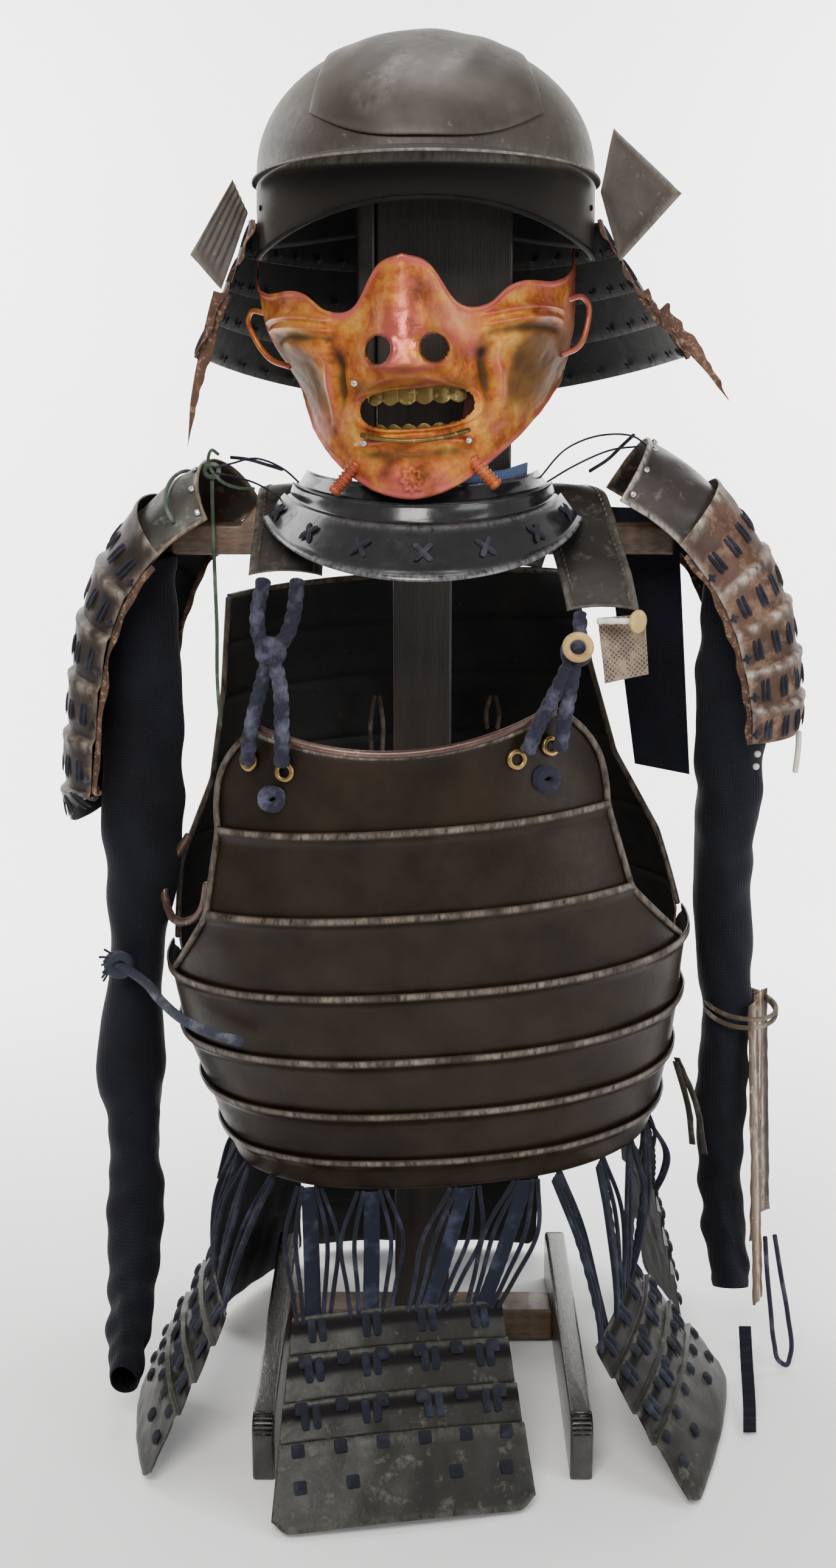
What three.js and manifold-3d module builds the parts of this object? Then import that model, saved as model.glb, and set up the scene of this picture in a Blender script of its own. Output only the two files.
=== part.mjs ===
// A worn set of Japanese lamellar armour on its own wooden stand, in millimetres.
// +Z is up, -Y is the front, left and right are as seen from the front, and the floor is z = 0.

import * as THREE from 'three';
import { mergeVertices } from 'three/addons/utils/BufferGeometryUtils.js';
import Module from 'manifold-3d';

const wasm = await Module();
wasm.setup();

// Driving dimensions

const gap = 0.3;
const frameShift = { x: -8.1, y: 40.6 };

const stand = {
	footSpread: 105, footThickness: 15, footHeight: 44, footFront: -190, footBack: 90,
	railHeight: 24, railDepth: 30, railBottom: 4,
	postWidth: 40, postDepth: 26,
	barBottom: 591, barEndTop: 611, barTop: 627, barHalfDepth: 13, barHalfLength: 171, saddleHalf: 124,
	headWidth: 100, headFront: -45, headBack: 25, headTop: 906,
};

const helmet = {
	centreX: 2, centreY: -8, halfWidth: 110, halfDepth: 130, brimZ: 838, crownRise: 85, fullness: 2.05,
	wall: 2.2, arch: 817, archDrop: 33, backEdge: 812,
};

const crownPlate = { halfFront: 70, halfBack: 42, wall: 2, frontAngle: 9, cornerAngle: 9, backAngle: 160 };

const visor = { reach: 27, halfAngle: 74, wall: 2, frontZ: 846, tipDrop: 15 };

const neckGuard = {
	lames: 4, wall: 1.7, startAngle: 74, topZ: 808, sideDrop: 86, backDrop: 122, flare: 50, sideFlare: 11,
	overlap: 0.05,
};

const mask = {
	centreX: -3, turn: -3.2, roll: -2.5, pivotZ: 740, depth: 126, halfAngle: 90, wall: 2, chinZ: 640,
	jawRise: 68, noseTop: 785, noseTipZ: 722, noseReach: 30, mouthX: 4, mouthWidth: 72, mouthTop: 707,
	mouthBottom: 682, toothAngle: 21, toothTurn: 2.5, leftInset: 15, leftInsetZ: 702, leftInsetReach: 34,
};

// Height of the mask's upper edge, by degrees round from the nose
const maskTop = [
	{ angle: 0, z: 786 },
	{ angle: 8, z: 780 },
	{ angle: 17, z: 757 },
	{ angle: 28, z: 755 },
	{ angle: 36, z: 764 },
	{ angle: 62, z: 767 },
	{ angle: 76, z: 772 },
	{ angle: 90, z: 788 },
];

// Half width of the mask at each height
const maskWidths = [
	{ z: 636, half: 64 },
	{ z: 665, half: 76 },
	{ z: 690, half: 87 },
	{ z: 715, half: 97 },
	{ z: 740, half: 102 },
	{ z: 790, half: 104 },
];

const throat = {
	centreX: 0, wall: 1.8, halfAngle: 74,
	lames: [
		{ top: { a: 79, b: 112, z: 647, rise: 4 }, bottom: { a: 86, b: 122, z: 634.5, rise: 8 } },
		{ top: { a: 88.5, b: 125, z: 636, rise: 9 }, bottom: { a: 92, b: 131, z: 622.5, rise: 14 } },
		{ top: { a: 94.5, b: 134, z: 624, rise: 15 }, bottom: { a: 109, b: 157, z: 592, rise: 36 } },
	],
};

const cuirass = {
	x: 11, z: 175, roll: -4, squareness: 2.3, wall: 2, ridgeLift: 3.4, ridgeOverlap: 4, frontHalfAngle: 96,
	neckRise: 19, bottomZ: -2, topZ: 388,
};

// Half width, half depth and sideways shift of the cuirass at each height
const cuirassSections = [
	{ z: -2, halfWidth: 150, halfDepth: 112, shift: 3 },
	{ z: 20, halfWidth: 158, halfDepth: 117, shift: 4 },
	{ z: 57, halfWidth: 168, halfDepth: 125, shift: 4 },
	{ z: 97, halfWidth: 178, halfDepth: 130, shift: 2 },
	{ z: 143, halfWidth: 183, halfDepth: 132, shift: 3 },
	{ z: 196, halfWidth: 182, halfDepth: 132, shift: 0 },
	{ z: 252, halfWidth: 162, halfDepth: 129, shift: 0 },
	{ z: 330, halfWidth: 146, halfDepth: 122, shift: 0 },
	{ z: 388, halfWidth: 134, halfDepth: 112, shift: 0 },
];

// The seven front lames, top lame first: where each begins and how wide it is between the armholes
const frontLames = [
	{ bottom: 252, top: 303, halfBottom: 128, halfTop: 96 },
	{ bottom: 196, top: 252, halfBottom: 141, halfTop: 128 },
	{ bottom: 143, top: 196, halfBottom: 177, halfTop: 141 },
	{ bottom: 97, top: 143 },
	{ bottom: 57, top: 97 },
	{ bottom: 20, top: 57 },
	{ bottom: -2, top: 20 },
];

// Where the back shell's edge stands at each height, in degrees round from the front
const backEdges = [
	{ z: -2, edge: 97 },
	{ z: 57, edge: 97 },
	{ z: 143, edge: 97 },
	{ z: 196, edge: 108 },
	{ z: 252, edge: 116 },
	{ z: 318, edge: 118 },
	{ z: 388, edge: 116 },
];

const strap = { width: 46, wall: 4 };

// The side view of the shoulder straps, from the front end over the shoulder to the back
const strapPath = [
	{ y: -86, z: 0 },
	{ y: -74, z: 10 },
	{ y: -46, z: 22 },
	{ y: -18, z: 42 },
	{ y: 12, z: 44 },
	{ y: 58, z: 36 },
	{ y: 96, z: 10 },
	{ y: 119, z: -24 },
];

const cordDiameter = 10;

// Ridge line of each shoulder guard from the neck outwards and down; lean is the angle of its back, and
// depth and half are the depth and half width of the half pipe there
const guardRight = [
	{ x: 151, z: 669, lean: 59, depth: 44, half: 48 },
	{ x: 177, z: 653, lean: 56, depth: 44, half: 50 },
	{ x: 203, z: 630, lean: 48, depth: 44, half: 52 },
	{ x: 230, z: 595, lean: 35, depth: 44, half: 54 },
	{ x: 246, z: 561, lean: 22, depth: 43, half: 55 },
	{ x: 255, z: 527, lean: 12, depth: 42, half: 55 },
	{ x: 259, z: 497, lean: 5, depth: 40, half: 54 },
	{ x: 259, z: 469, lean: 2, depth: 38, half: 52 },
];
const guardLeft = [
	{ x: -142, z: 655, lean: 64, depth: 40, half: 44 },
	{ x: -166, z: 641, lean: 56, depth: 41, half: 46 },
	{ x: -188, z: 620, lean: 46, depth: 41, half: 48 },
	{ x: -209, z: 591, lean: 33, depth: 41, half: 50 },
	{ x: -223, z: 555, lean: 20, depth: 40, half: 51 },
	{ x: -231, z: 515, lean: 10, depth: 39, half: 51 },
	{ x: -236, z: 474, lean: 4, depth: 38, half: 50 },
	{ x: -239, z: 434, lean: 0, depth: 36, half: 49 },
	{ x: -237, z: 402, lean: -3, depth: 34, half: 47 },
];
const guard = { wall: 2, step: 3, centreY: -4, leftTurn: 20, capRows: 2, leftTip: 36 };

// Centre line and half sizes of each sleeve from the shoulder to the hand
const sleeveLeft = [
	{ x: -189, y: -9, z: 590.6, halfX: 21, halfY: 21 },
	{ x: -191, y: -9, z: 520, halfX: 23, halfY: 22 },
	{ x: -196, y: -7, z: 440, halfX: 25, halfY: 23 },
	{ x: -199, y: 4, z: 370, halfX: 25, halfY: 26 },
	{ x: -208, y: 12, z: 290, halfX: 18, halfY: 26 },
	{ x: -213, y: 12, z: 215, halfX: 23, halfY: 27 },
	{ x: -211, y: 0, z: 165, halfX: 18, halfY: 24 },
	{ x: -208, y: -24, z: 122, halfX: 16, halfY: 21 },
	{ x: -206, y: -62, z: 86, halfX: 15, halfY: 19 },
	{ x: -205, y: -102, z: 60, halfX: 12, halfY: 18 },
	{ x: -204, y: -136, z: 42, halfX: 9, halfY: 16 },
];
const sleeveRight = [
	{ x: 212, y: 4, z: 590, halfX: 18, halfY: 20 },
	{ x: 215, y: 4, z: 520, halfX: 21, halfY: 23 },
	{ x: 217, y: 10, z: 430, halfX: 21, halfY: 27 },
	{ x: 217, y: 20, z: 350, halfX: 19, halfY: 29 },
	{ x: 222, y: 18, z: 262, halfX: 17, halfY: 27 },
	{ x: 220, y: 14, z: 190, halfX: 14, halfY: 24 },
	{ x: 223, y: 2, z: 110, halfX: 13, halfY: 22 },
	{ x: 228, y: -22, z: 52, halfX: 12, halfY: 21 },
];
const sleeveWall = 2;
const sleeveFold = 0.035;

// Splints that hang outside the right forearm: middle of each end, and heading in degrees
const splints = [
	{ top: [239, -8, 268], bottom: [248, -30, 44], heading: 60 },
	{ top: [246, 8, 270], bottom: [249, 0, 80], heading: 60 },
	{ top: [249, 24, 266], bottom: [257, 18, 92], heading: 40 },
];
const splintWidth = 17;
const splintWall = 2.2;

// The strap that hangs from the right sleeve's hem down to the floor
const handStrap = [
	{ x: 235, y: -48, z: 34 },
	{ x: 232, y: -78, z: 22 },
	{ x: 229, y: -110, z: 10 },
	{ x: 225, y: -138, z: 3.5 },
];
const handStrapWidth = 9;

// The seven skirts: middle of the top and bottom edges, heading in degrees (0 faces the front,
// 90 faces right), widths, how far the plates bow, and where the laces reach the cuirass
const skirts = [
	{ name: 'skirt_front', top: [-16, -148, 104], bottom: [-10, -246, 8], heading: 10,
		topWidth: 142, bottomWidth: 174, bow: 7, laces: [-35, -16, 4, 19] },
	{ name: 'skirt_front_right', top: [136, -114, 96], bottom: [205, -143, 7], heading: 75,
		topWidth: 138, bottomWidth: 176, bow: 8, laces: [28, 44, 60, 76] },
	{ name: 'skirt_front_left', top: [-141, -110, 112], bottom: [-197, -136, 7], heading: -82,
		topWidth: 118, bottomWidth: 130, bow: 6, laces: [-93, -80, -66, -50] },
	{ name: 'skirt_side_right', top: [166, 38, 128], bottom: [193, 40, 6], heading: 100,
		topWidth: 92, bottomWidth: 104, bow: 5, laces: [84, 96, 108] },
	{ name: 'skirt_side_left', top: [-126, 54, 130], bottom: [-135, 68, 6], heading: -121,
		topWidth: 108, bottomWidth: 124, bow: 5, laces: [-136, -122, -108] },
	{ name: 'skirt_back_right', top: [53, 122, 108], bottom: [50, 142, 6], heading: 176,
		topWidth: 84, bottomWidth: 88, bow: 4, laces: [146, 156, 168] },
	{ name: 'skirt_back_left', top: [-43, 122, 108], bottom: [-46, 142, 6], heading: 184,
		topWidth: 84, bottomWidth: 88, bow: 4, laces: [-146, -156, -168] },
];
// Share of the skirt's height that each lame shows, bottom lame first
const skirtLames = [0.4, 0.19, 0.22, 0.19];
const skirt = { wall: 2, step: 2.6, laceWidth: 11, laceWall: 1.6, laceLap: 5, laceGap: 1.2 };

// Materials

const material = (color, roughness, metalness = 0) =>
	new THREE.MeshStandardMaterial({ color, roughness, metalness });

const wood = material(0x4a3626, 0.45);
const iron = material(0x5a5248, 0.6, 0.7);
const darkIron = material(0x2c2824, 0.5, 0.6);
const copper = material(0xb5673f, 0.35, 0.6);
const gold = material(0xc89a45, 0.35, 0.9);
const blackLacquer = material(0x1f1c1a, 0.2);
const brownLacquer = material(0x33251a, 0.35);
const leather = material(0x5d4f42, 0.7);
const navyCord = material(0x3a3f56, 0.85);
const greenCord = material(0x74806c, 0.9);
const navyCloth = material(0x1d2130, 0.9);
const greyLacquer = material(0x6a665c, 0.5);
const horn = material(0xb08a52, 0.4);

// Helpers

const radians = THREE.MathUtils.degToRad;
const lerp = THREE.MathUtils.lerp;
const vector = (x, y, z) => new THREE.Vector3(x, y, z);

// Value of a named column where another column has a value, straight between the rows of a table
function at(table, place, key, by = 'z') {
	const upper = table.findIndex((row) => row[by] >= place);
	const i = upper < 1 ? (upper === 0 ? 1 : table.length - 1) : upper;
	const low = table[i - 1];
	const high = table[i];
	return lerp(low[key], high[key], (place - low[by]) / (high[by] - low[by]));
}

// Value of a named column at a share of the way along a table, smooth between its rows
function along(table, share, key) {
	const place = THREE.MathUtils.clamp(share, 0, 1) * (table.length - 1);
	const i = Math.min(Math.floor(place), table.length - 2);
	const value = (k) => table[THREE.MathUtils.clamp(k, 0, table.length - 1)][key];
	const t = place - i;
	const slopeIn = (value(i + 1) - value(i - 1)) / 2;
	const slopeOut = (value(i + 2) - value(i)) / 2;
	const t2 = t * t;
	const t3 = t2 * t;
	return value(i) * (2 * t3 - 3 * t2 + 1) + slopeIn * (t3 - 2 * t2 + t)
		+ value(i + 1) * (3 * t2 - 2 * t3) + slopeOut * (t3 - t2);
}

const bell = (distance, width) => Math.exp(-((distance / width) ** 2));

// Level direction at a heading in degrees: 0 runs to the right, 90 runs to the back
const headingAxis = (heading) => vector(Math.cos(radians(heading)), Math.sin(radians(heading)), 0);

// Direction square to a surface, from short steps along both of its parameters
function normalAt(surface, u, v) {
	const step = 1e-3;
	const across = surface(u + step, v).sub(surface(u - step, v));
	const up = surface(u, v + step).sub(surface(u, v - step));
	return across.cross(up).normalize();
}

// A sheet with a wall. surface(u, v) is its face, u runs 0 to 1 across and v follows the rows. Each row has
// v and a lift, how far the outer face stands off the surface. A closed sheet joins round in u, and a
// pole closes its last row to one point, facing up.
function sheet(surface, columns, rows, wall, { closed = false, pole = false } = {}) {
	const points = [];
	const rings = pole ? rows.slice(0, -1) : rows;
	const width = closed ? columns : columns + 1;
	for (const side of [0, wall]) {
		for (const { v, lift = 0 } of rings) {
			for (let i = 0; i < width; i++) {
				const u = i / columns;
				const normal = normalAt(surface, u, v);
				points.push(surface(u, v).addScaledVector(normal, lift - side));
			}
		}
		if (pole) {
			const last = rows[rows.length - 1];
			points.push(surface(0, last.v).add(vector(0, 0, (last.lift ?? 0) - side)));
		}
	}
	const layer = points.length / 2;
	const faces = [];
	const quad = (a, b, c, d) => faces.push(a, b, c, a, c, d);
	const id = (side, j, i) => side * layer + j * width + (closed ? i % width : i);
	for (let i = 0; i < columns; i++) {
		for (let j = 0; j < rings.length - 1; j++) {
			quad(id(0, j, i), id(0, j, i + 1), id(0, j + 1, i + 1), id(0, j + 1, i));
			quad(id(1, j, i), id(1, j + 1, i), id(1, j + 1, i + 1), id(1, j, i + 1));
		}
		const top = rings.length - 1;
		quad(id(0, 0, i), id(1, 0, i), id(1, 0, i + 1), id(0, 0, i + 1));
		if (pole) {
			faces.push(id(0, top, i), id(0, top, i + 1), layer - 1);
			faces.push(id(1, top, i), 2 * layer - 1, id(1, top, i + 1));
		} else {
			quad(id(0, top, i), id(0, top, i + 1), id(1, top, i + 1), id(1, top, i));
		}
	}
	if (!closed) {
		for (let j = 0; j < rings.length - 1; j++) {
			quad(id(0, j, 0), id(0, j + 1, 0), id(1, j + 1, 0), id(1, j, 0));
			quad(id(0, j, columns), id(1, j, columns), id(1, j + 1, columns), id(0, j + 1, columns));
		}
	}
	const geometry = new THREE.BufferGeometry();
	const flat = new Float32Array(points.flatMap((p) => [p.x, p.y, p.z]));
	geometry.setAttribute('position', new THREE.BufferAttribute(flat, 3));
	geometry.setIndex(faces);
	return geometry;
}

// Rows of laced lames seen from outside: the top edge of each lame stands proud of the one above
function lameRows(stops, step, riser = 0.012) {
	const rows = [];
	for (let i = 0; i < stops.length - 1; i++) {
		rows.push({ v: stops[i] + (i > 0 ? riser : 0), lift: 0 });
		rows.push({ v: stops[i + 1], lift: step });
	}
	return rows;
}

// A round cord through a list of points
function cord(points, diameter, steps, sides = 8) {
	const section = new THREE.Shape();
	for (let i = 0; i < sides; i++) {
		const angle = (i / sides) * 2 * Math.PI;
		const method = i === 0 ? 'moveTo' : 'lineTo';
		section[method](Math.cos(angle) * diameter / 2, Math.sin(angle) * diameter / 2);
	}
	const path = new THREE.CatmullRomCurve3(points.map((p) => vector(...p)), false, 'centripetal');
	return new THREE.ExtrudeGeometry(section, { steps, extrudePath: path, bevelEnabled: false });
}

function toSolid(geometry) {
	const bare = geometry.clone();
	bare.deleteAttribute('normal');
	bare.deleteAttribute('uv');
	const merged = mergeVertices(bare, 1e-3);
	return new wasm.Manifold(new wasm.Mesh({
		numProp: 3,
		vertProperties: new Float32Array(merged.attributes.position.array),
		triVerts: new Uint32Array(merged.index.array),
	}));
}

function toGeometry(solid) {
	const result = solid.getMesh();
	const geometry = new THREE.BufferGeometry();
	geometry.setAttribute('position', new THREE.BufferAttribute(result.vertProperties, 3));
	geometry.setIndex(new THREE.BufferAttribute(result.triVerts, 1));
	return geometry;
}

const join = (...geometries) => toGeometry(geometries.map(toSolid).reduce((sum, next) => sum.add(next)));

const thirds = [0, 1 / 3, 2 / 3, 1].map((v) => ({ v }));

const armour = new THREE.Group();

function add(name, geometry, finish, parent = armour) {
	const mesh = new THREE.Mesh(geometry, finish);
	mesh.name = name;
	parent.add(mesh);
	return mesh;
}

function box(x0, x1, y0, y1, z0, z1) {
	const geometry = new THREE.BoxGeometry(x1 - x0, y1 - y0, z1 - z0);
	return geometry.translate((x0 + x1) / 2, (y0 + y1) / 2, (z0 + z1) / 2);
}

// A board of even thickness in x, from its outline in the side view
function board(outline, centreX, thickness) {
	const shape = new THREE.Shape(outline.map(([y, z]) => new THREE.Vector2(y, z)));
	const geometry = new THREE.ExtrudeGeometry(shape, { depth: thickness, bevelEnabled: false });
	geometry.applyMatrix4(new THREE.Matrix4().makeBasis(vector(0, 1, 0), vector(0, 0, 1), vector(1, 0, 0)));
	return geometry.translate(centreX - thickness / 2, 0, 0);
}

// Stand: two runner feet on edge, a rail, a post, a shoulder bar with a raised saddle and a head block

function buildStand() {
	const { footFront, footBack, footHeight, footSpread, footThickness } = stand;
	const nose = 12;
	const outline = [
		[footFront, 0], [footBack, 0], [footBack, footHeight - nose], [footBack - nose, footHeight],
		[footFront + nose, footHeight], [footFront, footHeight - nose],
	];
	add('stand_foot_left', board(outline, -footSpread, footThickness), wood);
	add('stand_foot_right', board(outline, footSpread, footThickness), wood);

	const railEnd = footSpread - footThickness / 2 - gap;
	const railTop = stand.railBottom + stand.railHeight;
	const halfRail = stand.railDepth / 2;
	add('stand_rail', box(-railEnd, railEnd, -halfRail, halfRail, stand.railBottom, railTop), wood);

	const halfPost = stand.postWidth / 2;
	const halfPostDepth = stand.postDepth / 2;
	const postTop = stand.barBottom - gap;
	add('stand_post', box(-halfPost, halfPost, -halfPostDepth, halfPostDepth, railTop + gap, postTop), wood);

	const { barBottom, barEndTop, barTop, barHalfLength, barHalfDepth, saddleHalf } = stand;
	const slope = 14;
	const bar = new THREE.Shape([
		[-barHalfLength, barBottom], [barHalfLength, barBottom], [barHalfLength, barEndTop],
		[saddleHalf, barEndTop], [saddleHalf - slope, barTop], [slope - saddleHalf, barTop],
		[-saddleHalf, barEndTop], [-barHalfLength, barEndTop],
	].map(([x, z]) => new THREE.Vector2(x, z)));
	const barBody = new THREE.ExtrudeGeometry(bar, { depth: 2 * barHalfDepth, bevelEnabled: false });
	barBody.rotateX(Math.PI / 2).translate(0, barHalfDepth, 0);
	add('stand_shoulder_bar', barBody, wood);

	const { headWidth, headFront, headBack, headTop } = stand;
	const headBottom = barTop + gap;
	const chamfer = 22;
	const head = [
		[headFront, headBottom], [headBack, headBottom], [headBack, headTop - chamfer],
		[headBack - chamfer, headTop], [headFront + chamfer, headTop], [headFront, headTop - chamfer],
	];
	add('stand_head_block', board(head, 8, headWidth), wood);
}

// Helmet

// A point of the bowl: angle is degrees round from the front, rise is degrees from the brim to the crown
function bowlPoint(angle, rise) {
	const power = 2 / helmet.fullness;
	const spread = Math.max(Math.cos(radians(rise)), 0) ** power;
	const height = Math.max(Math.sin(radians(rise)), 0) ** power;
	return vector(
		helmet.centreX + helmet.halfWidth * spread * Math.sin(radians(angle)),
		helmet.centreY - helmet.halfDepth * spread * Math.cos(radians(angle)),
		helmet.brimZ + helmet.crownRise * height,
	);
}

// The lower edge of the bowl: an arch over the face, level round the back
function bowlEdge(angle) {
	const sideways = Math.abs(Math.sin(radians(angle)));
	const front = Math.cos(radians(angle)) > -0.2;
	return front ? helmet.arch - helmet.archDrop * sideways ** 2.2 : helmet.backEdge - 20 * sideways;
}

// v runs 0 to 1 up the lower wall and 1 to 2 over the dome
function bowlSurface(u, v) {
	const angle = 360 * u;
	if (v > 1) return bowlPoint(angle, 90 * (v - 1));
	const rim = bowlPoint(angle, 0);
	rim.z = lerp(bowlEdge(angle), helmet.brimZ, v);
	return rim;
}

// v is the share of the way from the brow over the crown; u runs across
function crownSurface(u, v) {
	const side = 2 * u - 1;
	const start = crownPlate.frontAngle + crownPlate.cornerAngle * side ** 4;
	const turn = radians(lerp(start, crownPlate.backAngle - 6 * side ** 4, v));
	const half = lerp(crownPlate.halfFront, crownPlate.halfBack, v);
	const across = (side * half) / helmet.halfWidth;
	const rest = Math.sqrt(1 - across ** 2);
	const depth = -Math.cos(turn) * rest;
	const rise = Math.asin(Math.sin(turn) * rest);
	return bowlPoint(THREE.MathUtils.radToDeg(Math.atan2(across, -depth)), THREE.MathUtils.radToDeg(rise));
}

function visorSurface(u, v) {
	const angle = visor.halfAngle * (2 * u - 1);
	const share = Math.abs(2 * u - 1);
	const reach = 1.6 + visor.reach * Math.max(Math.cos((share * Math.PI) / 2), 0) ** 0.75;
	const point = bowlPoint(angle, 0);
	const out = vector(Math.sin(radians(angle)), -Math.cos(radians(angle)), 0);
	point.addScaledVector(out, 0.5 + v * reach);
	point.z = visor.frontZ - visor.tipDrop * share ** 2 - 3 * v;
	return point;
}

function neckSurface(u, v) {
	const angle = lerp(neckGuard.startAngle, 360 - neckGuard.startAngle, u);
	const behind = Math.max(-Math.cos(radians(angle)), 0) ** 1.5;
	const drop = lerp(neckGuard.sideDrop, neckGuard.backDrop, behind);
	const flare = neckGuard.flare + neckGuard.sideFlare * Math.sin(radians(angle));
	const down = 1 - v;
	const out = 3 + flare * Math.max(down, 0) ** 1.15;
	const point = bowlPoint(angle, 0);
	point.x += out * Math.sin(radians(angle));
	point.y -= out * Math.cos(radians(angle));
	point.z = neckGuard.topZ - drop * down;
	return point;
}

// A four-cornered plate, bowed towards the front by its curl at the outer edge
function cornerSurface(corners, curl) {
	const [a, b, c, d] = corners.map((p) => vector(...p));
	return (u, v) => {
		const low = a.clone().lerp(b, u);
		const high = d.clone().lerp(c, u);
		const point = low.lerp(high, v);
		point.y -= curl * u ** 2;
		return point;
	};
}

function buildHelmet() {
	const bowlRows = [0, 0.97, 1.12, 1.3, 1.5, 1.7, 1.87, 2].map((v) => ({ v }));
	add('helmet_bowl', sheet(bowlSurface, 30, bowlRows, helmet.wall, { closed: true, pole: true }), iron);

	const plateLift = crownPlate.wall + gap + 1.3;
	const crownRows = [];
	for (let i = 0; i <= 11; i++) crownRows.push({ v: i / 11, lift: plateLift });
	add('helmet_crown_plate', sheet(crownSurface, 8, crownRows, crownPlate.wall), iron);

	const visorRows = [{ v: 0 }, { v: 0.5 }, { v: 1 }];
	add('helmet_visor', sheet(visorSurface, 18, visorRows, visor.wall), iron);

	const lift = neckGuard.wall + gap + 0.4;
	for (let i = 0; i < neckGuard.lames; i++) {
		const top = 1 - i / neckGuard.lames + (i > 0 ? neckGuard.overlap : 0);
		const bottom = 1 - (i + 1) / neckGuard.lames;
		const rows = [{ v: bottom, lift: 0 }, { v: bottom + 0.06, lift: 0.1 }, { v: top, lift }];
		add(`neck_guard_lame_${i + 1}`, sheet(neckSurface, 20, rows, neckGuard.wall), darkIron);
	}

	const rightFlap = cornerSurface(
		[[112, -50, 825], [125, -51, 782], [159, -84, 822], [118, -66, 862]], 3,
	);
	const leftFlap = cornerSurface(
		[[-128, -56, 765], [-110.5, -50, 812], [-119, -63, 832], [-145, -76, 786]], 0,
	);
	const flapRows = [{ v: 0 }, { v: 0.35 }, { v: 0.7 }, { v: 1 }];
	add('turned_flap_right', sheet(rightFlap, 5, flapRows, 2), iron);
	add('turned_flap_left', sheet(leftFlap, 5, flapRows, 2), iron);
}

// Mask: a raised face plate with nose, cheeks, lip and chin, its mouth cut through

function maskRelief(angle, z) {
	const up = THREE.MathUtils.clamp((z - mask.noseTipZ) / (mask.noseTop - mask.noseTipZ), 0, 1);
	const underNose = bell(Math.min(z - mask.noseTipZ, 0), 7);
	const nose = mask.noseReach * bell(angle, 12 - 3 * up) * (1 - 0.62 * up) * underNose;
	const cheeks = 8 * bell(Math.abs(angle) - 42, 18) * bell(z - 740, 15);
	const lip = 7 * bell(z - 713, 7) * bell(angle, 27);
	const chin = 10 * bell(angle, 24) * bell(z - 652, 14);
	const folds = -4 * bell(Math.abs(angle) - 26, 8) * bell(z - 712, 14);
	return nose + cheeks + lip + chin + folds;
}

// Half width of the mask; its left jaw is drawn in
function maskHalf(angle, z) {
	const left = Math.max(-Math.sin(radians(angle)), 0);
	return at(maskWidths, z, 'half') - mask.leftInset * left * bell(z - mask.leftInsetZ, mask.leftInsetReach);
}

// A point of the mask's face, off it by a distance
function maskPoint(angle, z, off = 0) {
	const relief = maskRelief(angle, z) + off;
	return vector(
		(maskHalf(angle, z) + relief) * Math.sin(radians(angle)),
		-(mask.depth + relief) * Math.cos(radians(angle)),
		z,
	);
}

function maskSurface(u, v) {
	const angle = mask.halfAngle * (2 * u - 1);
	const side = Math.abs(angle);
	const top = at(maskTop, side, 'z', 'angle');
	const bottom = mask.chinZ + mask.jawRise * (1 - Math.cos(radians(side))) ** 0.9;
	return maskPoint(angle, lerp(bottom, top, v));
}

// A strip of teeth behind the mouth, one edge of it scalloped
function teethSurface(low, high, scallops, scallopUp) {
	return (u, v) => {
		const wave = 2.4 * Math.abs(Math.sin(u * scallops * Math.PI));
		const z = scallopUp ? lerp(low, high + wave, v) : lerp(low - wave, high, v);
		const angle = mask.toothTurn + mask.toothAngle * (2 * u - 1);
		const reach = Math.min(maskRelief(angle, low), maskRelief(angle, high)) - mask.wall - 1.6;
		return vector(
			(maskHalf(angle, low) + reach) * Math.sin(radians(angle)),
			-(mask.depth + reach) * Math.cos(radians(angle)),
			z,
		);
	};
}

function maskPeg(side) {
	const reach = vector(side * 13, -5, -14);
	const root = maskPoint(side * 30, 660, -1);
	return cord([root.toArray(), root.clone().add(reach).toArray()], 8, 2);
}

function maskHook(side) {
	const path = [[76, 755, -1], [81, 756, 7], [84, 750, 11], [84, 739, 11], [81, 725, 8], [76, 720, -1]];
	const points = path.map(([angle, z, off]) => maskPoint(side * angle, z, off).toArray());
	return cord(points, 4, 9, 6);
}

function buildMask() {
	const group = new THREE.Group();
	group.rotation.set(0, radians(mask.roll), radians(mask.turn));
	const pivot = vector(0, 0, mask.pivotZ);
	group.position.copy(pivot).sub(pivot.clone().applyEuler(group.rotation));
	group.position.x += mask.centreX;
	armour.add(group);

	const rows = [];
	for (let i = 0; i <= 14; i++) rows.push({ v: i / 14 });
	const face = toSolid(sheet(maskSurface, 30, rows, mask.wall));

	const mouth = new THREE.Shape();
	const mouthHeight = mask.mouthTop - mask.mouthBottom;
	mouth.absellipse(0, 0, mask.mouthWidth / 2, mouthHeight / 2, 0, 2 * Math.PI);
	const cutter = new THREE.ExtrudeGeometry(mouth, { depth: 120, bevelEnabled: false, curveSegments: 8 });
	cutter.rotateX(Math.PI / 2).translate(mask.mouthX, -60, (mask.mouthTop + mask.mouthBottom) / 2);
	let body = face.subtract(toSolid(cutter));
	for (const side of [-1, 1]) {
		body = body.add(toSolid(maskPeg(side))).add(toSolid(maskHook(side)));
	}
	add('mask_face', toGeometry(body), copper, group);

	const toothRows = [{ v: 0 }, { v: 1 }];
	const upper = teethSurface(699, 710, 6, false);
	const lower = teethSurface(674, 683, 6, true);
	add('mask_teeth_upper', sheet(upper, 18, toothRows, 1.2), gold, group);
	add('mask_teeth_lower', sheet(lower, 18, toothRows, 1.2), gold, group);
}

// Throat guard: three flaring lames that hang under the chin, lower at the front

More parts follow.
